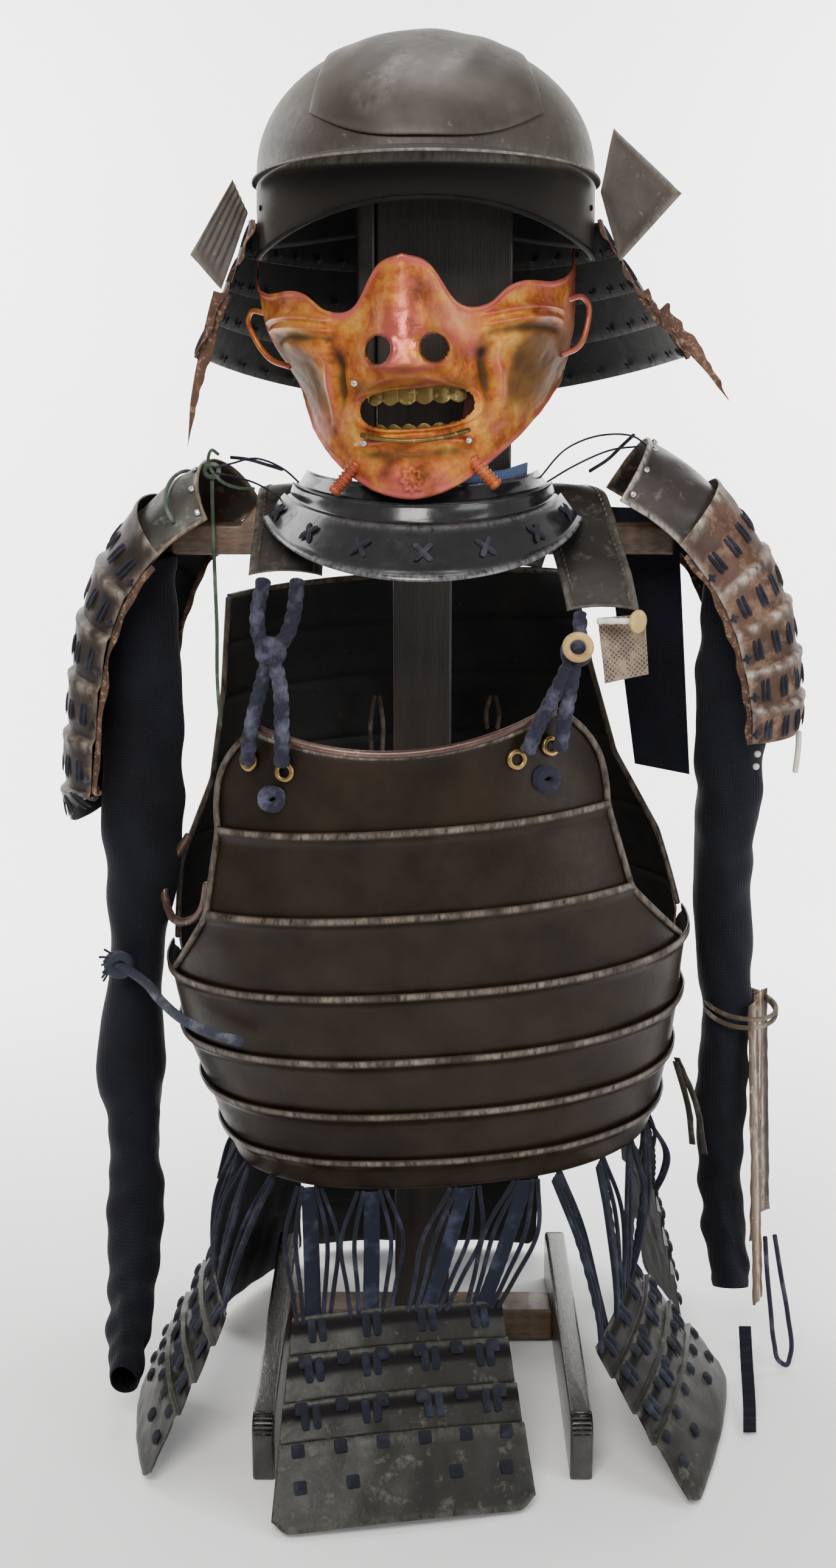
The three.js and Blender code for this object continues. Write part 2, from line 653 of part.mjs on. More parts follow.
function buildThroat() {
	throat.lames.forEach(({ top, bottom }, i) => {
		const surface = (u, v) => {
			const angle = throat.halfAngle * (2 * u - 1);
			const forward = 1 - Math.cos(radians(angle));
			return vector(
				throat.centreX + lerp(bottom.a, top.a, v) * Math.sin(radians(angle)),
				-lerp(bottom.b, top.b, v) * Math.cos(radians(angle)),
				lerp(bottom.z + bottom.rise * forward, top.z + top.rise * forward, v),
			);
		};
		const rows = [{ v: 0, lift: i === 2 ? 1.6 : 0 }, { v: 0.12 }, { v: 1 }];
		add(`throat_lame_${i + 1}`, sheet(surface, 22, rows, throat.wall), blackLacquer);
	});
}

// Cuirass

// Plan of the cuirass: a rounded oblong, angle in degrees round from the front
function cuirassPoint(angle, z) {
	const power = 2 / cuirass.squareness;
	const s = Math.sin(radians(angle));
	const c = Math.cos(radians(angle));
	const across = at(cuirassSections, z, 'halfWidth') * Math.sign(s) * Math.abs(s) ** power;
	return vector(
		at(cuirassSections, z, 'shift') + across,
		-at(cuirassSections, z, 'halfDepth') * Math.sign(c) * Math.abs(c) ** power,
		z,
	);
}

// The same plan, by how far sideways the point lies on the front
function cuirassFront(x, z) {
	const half = at(cuirassSections, z, 'halfWidth');
	const share = Math.min(Math.abs(x) / half, 0.999);
	const depth = (1 - share ** cuirass.squareness) ** (1 / cuirass.squareness);
	const shift = at(cuirassSections, z, 'shift');
	return vector(x + shift, -at(cuirassSections, z, 'halfDepth') * depth, z);
}

function frontLameSurface(lame, isTop) {
	return (u, v) => {
		const side = 2 * u - 1;
		if (lame.halfTop === undefined) {
			return cuirassPoint(cuirass.frontHalfAngle * side, lerp(lame.bottom, lame.top, v));
		}
		const shoulder = isTop ? 1 - Math.max(v, 0) ** 3 : 1 - v;
		const half = lerp(lame.halfTop, lame.halfBottom, shoulder);
		const rise = isTop ? cuirass.neckRise * side ** 2 : 0;
		return cuirassFront(side * half, lerp(lame.bottom, lame.top + rise, v));
	};
}

function buildCuirass() {
	const group = new THREE.Group();
	group.position.set(cuirass.x, 0, cuirass.z);
	group.rotation.y = radians(cuirass.roll);
	armour.add(group);

	frontLames.forEach((lame, i) => {
		const height = lame.top - lame.bottom;
		const seam = gap / height;
		const turn = 6 / height;
		const rows = i === 0
			? [{ v: seam }, { v: 0.3 }, { v: 0.6 }, { v: 0.82 }, { v: 0.94 }, { v: 1, lift: 2.5 }]
			: [
				{ v: seam, lift: 0 }, { v: 1 - turn, lift: 0.5 }, { v: 1 - turn / 5, lift: cuirass.ridgeLift },
				{ v: 1 + cuirass.ridgeOverlap / height, lift: cuirass.ridgeLift },
			];
		const surface = frontLameSurface(lame, i === 0);
		const columns = i < 3 ? 16 : 22;
		add(`front_lame_${i + 1}`, sheet(surface, columns, rows, cuirass.wall), brownLacquer, group);
	});

	const backSurface = (u, v) => {
		const z = lerp(cuirass.bottomZ, cuirass.topZ, v);
		const edge = at(backEdges, z, 'edge');
		return cuirassPoint(lerp(edge, 360 - edge, u), z);
	};
	const backHeight = cuirass.topZ - cuirass.bottomZ;
	const backRows = backEdges.map(({ z }) => ({ v: (z - cuirass.bottomZ) / backHeight }));
	add('back_shell', sheet(backSurface, 18, backRows, cuirass.wall), brownLacquer, group);
}

// The same place in the armour's frame as a point of the cuirass's own frame
function fromCuirass(point) {
	const turned = point.clone().applyAxisAngle(vector(0, 1, 0), radians(cuirass.roll));
	return turned.add(vector(cuirass.x, 0, cuirass.z));
}

// Shoulder straps, cords and their fittings

function strapSurface(frontX, backX, frontZ) {
	const half = strap.width / 2;
	return (u, v) => {
		const x = lerp(frontX, backX, Math.max(v, 0) ** 1.3) + (2 * u - 1) * half;
		const lowered = (frontZ - 586) * Math.max(1 - 3 * v, 0);
		const crown = 3 * (1 - (2 * u - 1) ** 2);
		return vector(x, along(strapPath, v, 'y'), 586 + along(strapPath, v, 'z') + lowered + crown);
	};
}

function buildStraps() {
	const rows = [];
	for (let i = 0; i <= 10; i++) rows.push({ v: i / 10, lift: strap.wall });
	const left = strapSurface(-88, -84, 584);
	const right = strapSurface(116, 66, 562);
	add('shoulder_strap_left', sheet(left, 4, rows, strap.wall), leather);
	add('shoulder_strap_right', sheet(right, 4, rows, strap.wall), leather);

	const flap = cornerSurface([[117, -101, 519], [146, -92, 524], [143, -90, 563], [112, -95, 561]], 2);
	add('strap_flap_right', sheet(flap, 4, [{ v: 0 }, { v: 0.5 }, { v: 1 }], 2.2), leather);

	const cordLeft = join(
		cord([[-102, -92, 584], [-106, -96, 560], [-104, -101, 548], [-97, -104, 540]], cordDiameter, 5),
		cord([[-80, -94, 584], [-83, -98, 562], [-88, -102, 549], [-97, -106, 540]], cordDiameter, 5),
		cord([[-97, -104, 542], [-103, -109, 520], [-110, -111, 492], [-113, -112, 470]], cordDiameter, 6),
		cord([[-97, -106, 542], [-91, -113, 520], [-90, -118, 492], [-90, -122, 471]], cordDiameter, 6),
		new THREE.SphereGeometry(11, 10, 7).translate(-97, -105, 541),
	);
	add('shoulder_cord_left', cordLeft, navyCord);

	const upper = join(
		cord([[101, -91, 562], [101, -96, 552], [100, -100, 544], [98, -103, 538]], cordDiameter, 4),
		cord([[98, -102, 541], [88, -112, 522], [76, -118, 500], [67, -122, 480]], cordDiameter, 6),
		cord([[98, -103, 541], [95, -111, 522], [91, -114, 500], [88, -116, 480]], cordDiameter, 6),
		new THREE.SphereGeometry(10, 10, 7).translate(98, -102, 540),
	);
	add('shoulder_cord_right', upper, navyCord);

	const ring = new THREE.TorusGeometry(7.5, 2.6, 8, 16).rotateX(radians(80)).rotateZ(radians(-15));
	add('cord_ring', ring.translate(98, -119, 546), horn);

	const stem = cord([[112, -103, 560], [124, -105, 560.5], [136, -104, 560]], 4, 4, 8);
	const disc = new THREE.CylinderGeometry(7.5, 7.5, 3, 16).rotateZ(Math.PI / 2).rotateZ(radians(-12));
	add('toggle_pin', join(stem, disc.translate(137, -104, 560)), horn);
}

// Shoulder guards: a half pipe of stepped lames under a smooth cap, open towards the body

function guardSurface(table, side, turn, tip) {
	return (u, v) => {
		const swing = Math.PI * (u - 0.5) * -side;
		const lean = radians(along(table, v, 'lean'));
		const inward = along(table, v, 'depth') * (1 - Math.cos(swing));
		const over = along(table, v, 'half') * Math.sin(swing);
		const dx = -inward * Math.cos(lean);
		const turned = vector(dx, over, 0).applyAxisAngle(vector(0, 0, 1), radians(turn));
		const sag = tip * Math.max(v - 0.86, 0) / 0.14 * (1 - Math.cos(swing));
		return vector(
			along(table, v, 'x') + side * turned.x,
			guard.centreY + turned.y,
			along(table, v, 'z') - inward * Math.sin(lean) + sag,
		);
	};
}

function buildGuard(name, table, side, turn, tip) {
	const capShare = guard.capRows / (table.length - 1);
	const surface = guardSurface(table, side, turn, tip);
	const capRows = [0, 0.5, 1].map((share) => ({ v: capShare * share, lift: 0 }));
	add(`shoulder_guard_cap_${name}`, sheet(surface, 12, capRows, guard.wall), greyLacquer);

	const lames = table.length - 1 - guard.capRows;
	const rows = [];
	const raised = guard.wall + gap + guard.step;
	for (let i = 0; i < lames; i++) {
		const top = lerp(capShare, 1, i / lames) - (i === 0 ? 0.04 : 0);
		const bottom = lerp(capShare, 1, (i + 1) / lames);
		rows.push({ v: top, lift: raised });
		rows.push({ v: bottom - 0.012, lift: raised - guard.step });
	}
	add(`shoulder_guard_${name}`, sheet(surface, 12, rows, guard.wall), brownLacquer);
}

// Sleeves: cloth tubes, open at both ends

function sleeveSurface(table) {
	const centre = (v) => vector(along(table, v, 'x'), along(table, v, 'y'), along(table, v, 'z'));
	return (u, v) => {
		const share = 1 - v;
		const direction = centre(share + 0.01).sub(centre(share - 0.01)).normalize();
		const sideways = vector(1, 0, 0);
		const forward = direction.clone().cross(sideways).normalize();
		const angle = 2 * Math.PI * u;
		const crease = 1 + sleeveFold * Math.sin(3 * angle + 9 * share) * Math.sin(14 * share);
		return centre(share)
			.addScaledVector(sideways, Math.cos(angle) * along(table, share, 'halfX') * crease)
			.addScaledVector(forward, Math.sin(angle) * along(table, share, 'halfY') * crease);
	};
}

function handSurface(u, v) {
	const share = 1 - v;
	return vector(
		along(handStrap, share, 'x') + (u - 0.5) * handStrapWidth,
		along(handStrap, share, 'y'),
		along(handStrap, share, 'z'),
	);
}

function buildSleeves() {
	const tube = (table, count) => {
		const rows = [];
		for (let i = 0; i <= count; i++) rows.push({ v: i / count });
		return sheet(sleeveSurface(table), 12, rows, sleeveWall, { closed: true });
	};
	add('sleeve_left', tube(sleeveLeft, 17), navyCloth);
	add('sleeve_right', tube(sleeveRight, 13), navyCloth);

	const panel = cornerSurface([[152, 25, 437], [191, 21, 430], [178, 22, 600], [128, 26, 600]], 0);
	const band = cornerSurface([[128, 26, 588], [191, 22, 588], [188, 22, 618], [126, 26, 620]], 0);
	const yokeRows = [{ v: 0 }, { v: 1 }];
	const yoke = join(sheet(panel, 3, yokeRows, sleeveWall), sheet(band, 3, yokeRows, sleeveWall));
	add('sleeve_yoke_right', yoke, navyCloth);

	splints.forEach(({ top, bottom, heading }, i) => {
		const across = headingAxis(heading);
		const surface = (u, v) => vector(...bottom).lerp(vector(...top), v)
			.addScaledVector(across, (u - 0.5) * splintWidth);
		const plate = sheet(surface, 2, [{ v: 0 }, { v: 1 }], splintWall);
		add(`sleeve_splint_right_${i + 1}`, plate, greyLacquer);
	});

	add('hand_strap_right', sheet(handSurface, 1, thirds, 2), navyCloth);
}

// Skirts: four lames laced into one plate, hanging from the cuirass by flat laces

function skirtSurface(row) {
	const top = vector(...row.top);
	const bottom = vector(...row.bottom);
	const across = headingAxis(row.heading);
	const normal = bottom.clone().sub(top).cross(across).normalize();
	return (u, v) => {
		const side = 2 * u - 1;
		const half = lerp(row.bottomWidth, row.topWidth, v) / 2;
		return bottom.clone().lerp(top, v)
			.addScaledVector(across, side * half)
			.addScaledVector(normal, -row.bow * side ** 2);
	};
}

function laceSurface(foot, head, across) {
	return (u, v) => {
		const slack = 3 * Math.sin(Math.PI * v);
		const point = foot.clone().lerp(head, v);
		point.addScaledVector(across, (u - 0.5) * skirt.laceWidth);
		point.addScaledVector(across.clone().cross(vector(0, 0, 1)), slack);
		return point;
	};
}

function buildSkirts() {
	const stops = [0];
	for (const share of skirtLames) stops.push(stops[stops.length - 1] + share);
	const rows = lameRows(stops, skirt.step);
	for (const row of skirts) {
		const surface = skirtSurface(row);
		const pieces = [sheet(surface, 8, rows, skirt.wall)];
		const across = headingAxis(row.heading);
		row.laces.forEach((angle, i) => {
			const u = lerp(0.1, 0.9, i / (row.laces.length - 1));
			const up = surface(u, 1).sub(surface(u, 0)).normalize();
			const foot = surface(u, 1).addScaledVector(up, -skirt.laceLap);
			const head = fromCuirass(cuirassPoint(angle, cuirass.bottomZ)).add(vector(0, 0, -skirt.laceGap));
			pieces.push(sheet(laceSurface(foot, head, across), 1, thirds, skirt.laceWall));
		});
		add(row.name, join(...pieces), greyLacquer);
	}
}

// Free strings, each through its own short list of points

const strings = [
	{ name: 'green_string', diameter: 2.6, finish: greenCord, points: [
		[-141, -17.5, 645], [-141, -17.5, 610], [-140.5, -18, 575], [-140, -18.5, 540],
		[-140.5, -19, 505], [-139, -19, 474],
	] },
	{ name: 'waist_cord', diameter: 7, finish: navyCord, points: [
		[-121, -113, 279], [-142, -102, 281], [-163, -84, 284], [-181, -60, 289],
		[-194, -40, 295], [-206, -31, 300], [-216, -28, 304],
	] },
	{ name: 'sleeve_loop_right', diameter: 3.6, finish: navyCord, points: [
		[253, -16, 88], [254, -23, 66], [256, -33, 40], [258, -43, 17], [261, -49, 6],
		[266, -50, 3.4], [270, -44, 8], [269, -33, 34], [265, -21, 60], [261, -11, 87],
	] },
	{ name: 'guard_cord_left', diameter: 2.4, finish: navyCord, points: [
		[-129, -6, 656], [-118, -9, 655], [-106, -12, 652], [-94, -14, 648.5],
	] },
	{ name: 'guard_cord_right', diameter: 2.4, finish: navyCord, points: [
		[142, -6, 671], [134, -9, 664], [124, -13, 655], [112, -15, 647.5],
	] },
];

function buildStrings() {
	for (const { name, diameter, finish, points } of strings) {
		add(name, cord(points, diameter, 3 * points.length), finish);
	}
}

buildStand();
buildHelmet();
buildMask();
buildThroat();
buildCuirass();
buildStraps();
buildGuard('right', guardRight, 1, 0, 0);
buildGuard('left', guardLeft, -1, guard.leftTurn, guard.leftTip);
buildSleeves();
buildSkirts();
buildStrings();

armour.position.set(frameShift.x, frameShift.y, 0);

export default armour;
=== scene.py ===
import math

import bmesh
import bpy
import numpy as np
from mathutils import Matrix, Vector


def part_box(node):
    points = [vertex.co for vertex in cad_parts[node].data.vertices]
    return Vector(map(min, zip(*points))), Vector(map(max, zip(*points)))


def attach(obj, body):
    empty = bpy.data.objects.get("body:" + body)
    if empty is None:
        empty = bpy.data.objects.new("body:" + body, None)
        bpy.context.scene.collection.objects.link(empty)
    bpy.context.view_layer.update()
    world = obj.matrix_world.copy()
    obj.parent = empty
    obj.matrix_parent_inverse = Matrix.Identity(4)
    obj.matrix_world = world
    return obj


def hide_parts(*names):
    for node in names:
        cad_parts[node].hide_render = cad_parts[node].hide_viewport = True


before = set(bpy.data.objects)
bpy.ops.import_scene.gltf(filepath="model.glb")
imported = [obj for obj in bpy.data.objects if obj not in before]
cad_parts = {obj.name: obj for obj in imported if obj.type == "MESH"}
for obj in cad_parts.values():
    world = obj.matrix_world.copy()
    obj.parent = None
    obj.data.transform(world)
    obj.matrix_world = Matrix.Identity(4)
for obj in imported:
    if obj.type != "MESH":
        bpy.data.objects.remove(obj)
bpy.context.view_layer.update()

postLow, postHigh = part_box("stand_post")
origin = np.array([postLow.x + postHigh.x, postLow.y + postHigh.y, 0]) * 500  # the post's axis, mm


# Millimetres from the post's axis become metres in the frame
def place(points):
    return (np.asarray(points, float) + origin) / 1000


print("camera and studio")
studio = {
    "side": -3, "back": -1340, "height": 756, "tilt": 13.75, "lens": 45.0,
    "floor": 9000, "wallAt": 1500, "bendRadius": 500, "sky": (0.93, 0.94, 0.96, 1), "skyPower": 0.46,
}

cameraData = bpy.data.cameras.new("camera")
cameraData.sensor_fit = "VERTICAL"
cameraData.sensor_height = 36
cameraData.sensor_width = 36
cameraData.lens = studio["lens"]
cameraData.clip_start = 0.05
camera = bpy.data.objects.new("camera", cameraData)
bpy.context.collection.objects.link(camera)
camera.location = place([studio["side"], studio["back"], studio["height"]])
camera.rotation_euler = (math.radians(90 - studio["tilt"]), 0, 0)
bpy.context.scene.camera = camera


# A smooth line through a table's points: cubic pieces whose slopes are averaged from both sides
def smoothLine(table, at, column=1):
    table = np.asarray(table, float)
    x, y = table[:, 0], table[:, column]
    slope = np.gradient(y, x)
    at = np.asarray(at, float)
    i = np.clip(np.searchsorted(x, at) - 1, 0, len(x) - 2)
    h = x[i + 1] - x[i]
    t = np.clip((at - x[i]) / h, 0, 1)
    return ((2 * t**3 - 3 * t**2 + 1) * y[i] + (t**3 - 2 * t**2 + t) * h * slope[i]
            + (3 * t**2 - 2 * t**3) * y[i + 1] + (t**3 - t**2) * h * slope[i + 1])


# A share of the way along evenly spaced rows
def alongRows(rows, share, column):
    rows = np.asarray(rows, float)
    table = np.column_stack([np.linspace(0, 1, len(rows)), rows[:, column]])
    return smoothLine(table, share)


def pointsAlong(rows, share):
    return np.stack([alongRows(rows, share, k) for k in range(3)], axis=-1)


# Straight lines between a table's points
def straightLine(table, at, column=1):
    table = np.asarray(table, float)
    return np.interp(at, table[:, 0], table[:, column])


# 1 at the middle, falling to 0 as a bell of the width given
def bell(distance, width):
    return np.exp(-((distance / width) ** 2))


# 0 below low, 1 above high, an S between them
def ease(value, low, high):
    t = np.clip((value - low) / (high - low), 0, 1)
    return t * t * (3 - 2 * t)


# Smooth bumps without a pattern: a sum of sines whose directions and phases come from one seed
def ripple(u, v, waves, seed, count=7):
    rng = np.random.default_rng(seed)
    total = np.zeros(np.broadcast(u, v).shape)
    for _ in range(count):
        a, b = rng.uniform(-waves, waves, 2)
        total += np.sin(a * u + b * v + rng.uniform(0, 6.3)) / count**0.5
    return total


# Distance travelled at each point of a path, from 0
def travelled(path):
    return np.concatenate([[0], np.cumsum(np.linalg.norm(np.diff(np.asarray(path, float), axis=0), axis=1))])


def unit(vectors):
    return vectors / np.maximum(np.linalg.norm(vectors, axis=-1, keepdims=True), 1e-9)


# u and v as arrays of numbers of one shape
def paired(u, v):
    return np.broadcast_arrays(np.asarray(u, float), np.asarray(v, float))


def stacked(x, y, z):
    return np.stack(np.broadcast_arrays(x, y, z), axis=-1).astype(float)


# Outward direction of a grid: along its columns crossed with up its rows
def gridNormals(points, closed=False):
    if closed:
        wide = np.concatenate([points[:, -1:], points, points[:, :1]], axis=1)
        across = (wide[:, 2:] - wide[:, :-2]) / 2
    else:
        across = np.gradient(points, axis=1)
    return unit(np.cross(across, np.gradient(points, axis=0)))


def lifted(points, lift, closed=False):
    return points + gridNormals(points, closed) * np.asarray(lift)[..., None]


# u and v over a grid, from 0 to 1, with rows upwards
def gridOf(columns, rows, closed=False):
    u = np.linspace(0, 1, columns + 1)
    if closed:
        u = u[:-1]
    return np.meshgrid(u, np.linspace(0, 1, rows + 1))


# A mesh from a grid of points; UV is in centimetres along the columns and rows
def gridMesh(name, points, closed=False, marks=None, keep=None, weld=False):
    rows, columns = points.shape[:2]
    index = np.arange(rows * columns).reshape(rows, columns)
    if closed:
        index = np.concatenate([index, index[:, :1]], axis=1)
    quads = np.stack([index[:-1, :-1], index[:-1, 1:], index[1:, 1:], index[1:, :-1]], axis=-1)
    wide = np.concatenate([points, points[:, :1]], axis=1) if closed else points
    across = np.linalg.norm(np.diff(wide, axis=1), axis=-1).sum(axis=1).mean() / 10
    upward = np.linalg.norm(np.diff(points, axis=0), axis=-1).sum(axis=0).mean() / 10
    u, v = np.meshgrid(np.linspace(0, across, index.shape[1]), np.linspace(0, upward, rows))
    uv = np.stack([u, v], axis=-1)
    corners = np.stack([uv[:-1, :-1], uv[:-1, 1:], uv[1:, 1:], uv[1:, :-1]], axis=-2)
    chosen = np.ones(quads.shape[:2], bool) if keep is None else keep
    quads, corners = quads[chosen], corners[chosen]
    mesh = bpy.data.meshes.new(name)
    mesh.from_pydata(place(points.reshape(-1, 3)).tolist(), [], quads.tolist())
    layer = mesh.uv_layers.new(name="UVMap")
    layer.data.foreach_set("uv", corners.reshape(-1))
    for mark, values in (marks or {}).items():
        attribute = mesh.attributes.new(mark, "FLOAT", "POINT")
        attribute.data.foreach_set("value", np.broadcast_to(values, points.shape[:2]).astype(float).ravel())
    if weld or keep is not None:
        tidyMesh(mesh, weld)
    return mesh


# Doubles merged at seams and poles, and points that no face uses taken away
def tidyMesh(mesh, weld=True):
    work = bmesh.new()
    work.from_mesh(mesh)
    if weld:
        bmesh.ops.remove_doubles(work, verts=work.verts, dist=2e-6)
    loose = [v for v in work.verts if not v.link_faces]
    bmesh.ops.delete(work, geom=loose, context="VERTS")
    work.to_mesh(mesh)
    work.free()


def shadeSmooth(mesh):
    mesh.polygons.foreach_set("use_smooth", np.ones(len(mesh.polygons), bool))


# One mark of one value over a whole mesh, for finishes that ask for it
def markEvenly(mesh, **marks):
    for mark, value in marks.items():
        attribute = mesh.attributes.new(mark, "FLOAT", "POINT")
        attribute.data.foreach_set("value", np.full(len(mesh.vertices), float(value)))


# One object on the armour's single body; wall and round are millimetres, and modifiers make them
def addPiece(name, mesh, material, wall=0, round=0, slot=None, stands=()):
    piece = bpy.data.objects.new(f"{name}_form" if stands else name, mesh)
    bpy.context.collection.objects.link(piece)
    mesh.materials.clear()
    mesh.materials.append(material)
    shadeSmooth(mesh)
    if wall:
        solid = piece.modifiers.new("wall", "SOLIDIFY")
        solid.thickness = wall / 1000
        solid.offset = -1
        solid.use_even_offset = True
        solid.thickness_clamp = 1.2
    if round:
        edge = piece.modifiers.new("edge", "BEVEL")
        edge.width = round / 1000
        edge.segments = 2
        edge.limit_method = "ANGLE"
        edge.angle_limit = math.radians(50)
    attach(piece, "root")
    if stands:
        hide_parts(*stands)
    return piece


# Several meshes of one finish joined into one
def joinMeshes(name, meshes):
    work = bmesh.new()
    for mesh in meshes:
        work.from_mesh(mesh)
        bpy.data.meshes.remove(mesh)
    whole = bpy.data.meshes.new(name)
    work.to_mesh(whole)
    work.free()
    return whole


# A round section carried along a smooth path: at each step a circle stands square to the path. swell is
# a factor on the radius over (steps, sides)
def tubePoints(path, radius, steps, sides, swell=None):
    path = np.asarray(path, float)
    along = travelled(path)
    at = np.linspace(0, along[-1], steps + 1)
    line = smoothLine if len(path) > 2 else straightLine
    middle = np.stack([line(np.column_stack([along, path]), at, k) for k in (1, 2, 3)], axis=-1)
    ahead = unit(np.gradient(middle, axis=0))
    across = unit(np.cross(ahead, [0.001, 0.001, 1.001]))  # leant a little, so that no path runs along it
    for i in range(1, len(across)):  # the section's direction is carried along so that it doesn't spin
        carried = across[i - 1] - ahead[i] * np.dot(across[i - 1], ahead[i])
        across[i] = carried / np.linalg.norm(carried)
    third = np.cross(across, ahead)
    turn = fullTurn(sides)
    reach = np.broadcast_to(radius, (steps + 1,))[:, None] * (1 if swell is None else swell)
    return (middle[:, None] + across[:, None] * (np.cos(turn) * reach)[..., None]
            + third[:, None] * (np.sin(turn) * reach)[..., None])


# A tube with rounded ends: a few rings at each end shrink to a point
def tubeMesh(name, path, radius, steps, sides=12, **more):
    points = tubePoints(path, radius, steps, sides, **more)
    ends = []
    for ring, inner in ((points[0], points[1]), (points[-1], points[-2])):
        middle = ring.mean(axis=0)
        out = unit(middle - inner.mean(axis=0)) * np.linalg.norm(ring - middle, axis=1).mean()
        ends.append([middle + (ring - middle) * c + out * s
                     for c, s in ((0.001, 0.6), (0.55, 0.5), (0.88, 0.27))])
    points = np.concatenate([np.array(ends[0]), points, np.array(ends[1])[::-1]])
    return gridMesh(name, points[:, ::-1], closed=True, weld=True)


# A closed hoop: the path comes back to its first point, where the last ring is welded to the first
def hoopMesh(name, path, radius, sides=10):
    path = np.asarray(path, float)
    ahead = unit(np.roll(path, -1, axis=0) - np.roll(path, 1, axis=0))
    axis = unit(np.cross(path - path.mean(axis=0), ahead).mean(axis=0))
    out = unit(np.cross(ahead, axis))
    turn = fullTurn(sides)
    reach = np.broadcast_to(radius, (len(path),))[:, None]
    rings = (path[:, None] + out[:, None] * (np.cos(turn) * reach)[..., None]
             + np.cross(out, ahead)[:, None] * (np.sin(turn) * reach)[..., None])
    return gridMesh(name, np.concatenate([rings, rings[:1]]), closed=True, weld=True)


# The matrix that leans points sideways, about the front-to-back axis; angle in radians
def leaning(angle):
    cos, sin = math.cos(angle), math.sin(angle)
    return np.array([[cos, 0, sin], [0, 1, 0], [-sin, 0, cos]])


# Evenly spaced angles once round, in radians
def fullTurn(count):
    return np.linspace(0, 2 * np.pi, count, endpoint=False)


# A knot in a cord: two hoops that cross over its middle
def knotMeshes(where, reach, thick):
    turn = fullTurn(40)
    meshes = []
    for lean, tilt in ((0.5, 0.5), (-0.6, -0.4)):
        loop = stacked(np.cos(turn) * reach, np.sin(turn) * reach * 0.62 * tilt, np.sin(turn) * reach * 0.8)
        meshes.append(hoopMesh("turn", np.asarray(where, float) + loop @ leaning(lean).T, thick, 14))
    return meshes


# Where a surface lies and how it faces at (u, v): the point, then the directions right, up and out of it
def frameOn(surface, u, v, lift=0.0):
    u, v = np.asarray(u, float), np.asarray(v, float)
    step = 1e-3
    point = surface(u, v)
    right = unit(surface(u + step, v) - surface(u - step, v))
    out = unit(np.cross(right, surface(u, v + step) - surface(u, v - step)))
    return point + out * lift, right, np.cross(out, right), out


# One small shape set down many times: its points are (right, up, out) from each place
def stampMesh(name, shape, frames, scale=1.0, spin=None):
    points, faces = shape
    where, right, up, out = (np.atleast_2d(part) for part in frames)
    count = len(where)
    scale = np.broadcast_to(scale, (count,))
    spin = np.zeros(count) if spin is None else np.asarray(spin, float)
    cos, sin = np.cos(spin)[:, None], np.sin(spin)[:, None]
    first, second = right * cos + up * sin, up * cos - right * sin
    axes = np.stack([first, second, out], axis=1) * scale[:, None, None]
    places = where[:, None] + np.einsum("pk,nkd->npd", points, axes)
    every = faces[None] + (np.arange(count) * len(points))[:, None, None]
    mesh = bpy.data.meshes.new(name)
    mesh.from_pydata(place(places.reshape(-1, 3)).tolist(), [], every.reshape(-1, faces.shape[1]).tolist())
    mesh.uv_layers.new(name="UVMap")
    return mesh


# A soft pad on a square grid: its thickness falls to nothing at the edge, and squareness sets its outline
def padShape(width, height, thick, cells=6, squareness=4.0):
    a, b = np.meshgrid(np.linspace(-1, 1, cells + 1), np.linspace(-1, 1, cells + 1))
    reach = np.maximum(np.abs(a), np.abs(b))
    norm = (np.abs(a) ** squareness + np.abs(b) ** squareness) ** (1 / squareness)
    pull = np.where(norm > 0, reach / np.maximum(norm, 1e-9), 1)
    rise = np.sqrt(np.clip(1 - reach**2, 0, 1))
    top = np.stack([a * pull * width / 2, b * pull * height / 2, rise * thick], axis=-1).reshape(-1, 3)
    n = cells + 1
    index = np.arange(n * n).reshape(n, n)
    faces = np.stack([index[:-1, :-1], index[:-1, 1:], index[1:, 1:], index[1:, :-1]], axis=-1).reshape(-1, 4)
    bottom = top * [1, 1, -0.2]
    return np.concatenate([top, bottom]), np.concatenate([faces, faces[:, ::-1] + n * n])


# A small raised boss of rings; lobes swell its outline, so that four of them make a knot and depth 0 a rivet
def knotShape(reach, thick, lobes=4, depth=0.3, sectors=16):
    turn = fullTurn(sectors)
    lobe = reach * (1 - depth + depth * np.cos(lobes * turn))
    rings = [(0.02, 1.0), (0.45, 1.05), (0.8, 0.75), (1.0, 0.0), (0.8, -0.2), (0.02, -0.2)]
    points = np.array([[np.cos(turn) * lobe * r, np.sin(turn) * lobe * r, np.full(sectors, h * thick)]
                       for r, h in rings]).transpose(0, 2, 1)
    index = np.arange(len(rings) * sectors).reshape(len(rings), sectors)
    index = np.concatenate([index, index[:, :1]], axis=1)
    faces = np.stack([index[:-1, :-1], index[1:, :-1], index[1:, 1:], index[:-1, 1:]], axis=-1)
    return points.reshape(-1, 3), faces.reshape(-1, 4)


# A sheet that stands for the node of its own name; lining is the finish of its inner side
def platePiece(name, points, material, lining=None, wall=0, round=0, slot=None, **grid):
    piece = addPiece(name, gridMesh(name, points, **grid), material, wall, round, slot, [name])
    if lining:
        piece.data.materials.append(lining)
        piece.modifiers["wall"].material_offset = 1
    return piece


def joinedPiece(name, meshes, material, **more):
    return addPiece(name, joinMeshes(name, meshes), material, **more)


def stampedPiece(name, shape, frames, material, slot="cord", **more):
    return addPiece(name, stampMesh(name, shape, frames, **more), material, slot=slot)


# Places from several rows on surfaces, put together in one
def gathered(places):
    return tuple(np.concatenate([np.atleast_2d(part[k]) for part in places]) for k in range(4))


# How far a point of a sheet lies from the nearest of its four edges, over the sheet's width and height
def edgeDistance(u, v, width=1, height=1):
    return np.minimum(np.minimum(u, 1 - u) * width, np.minimum(v, 1 - v) * height)


print("finishes")


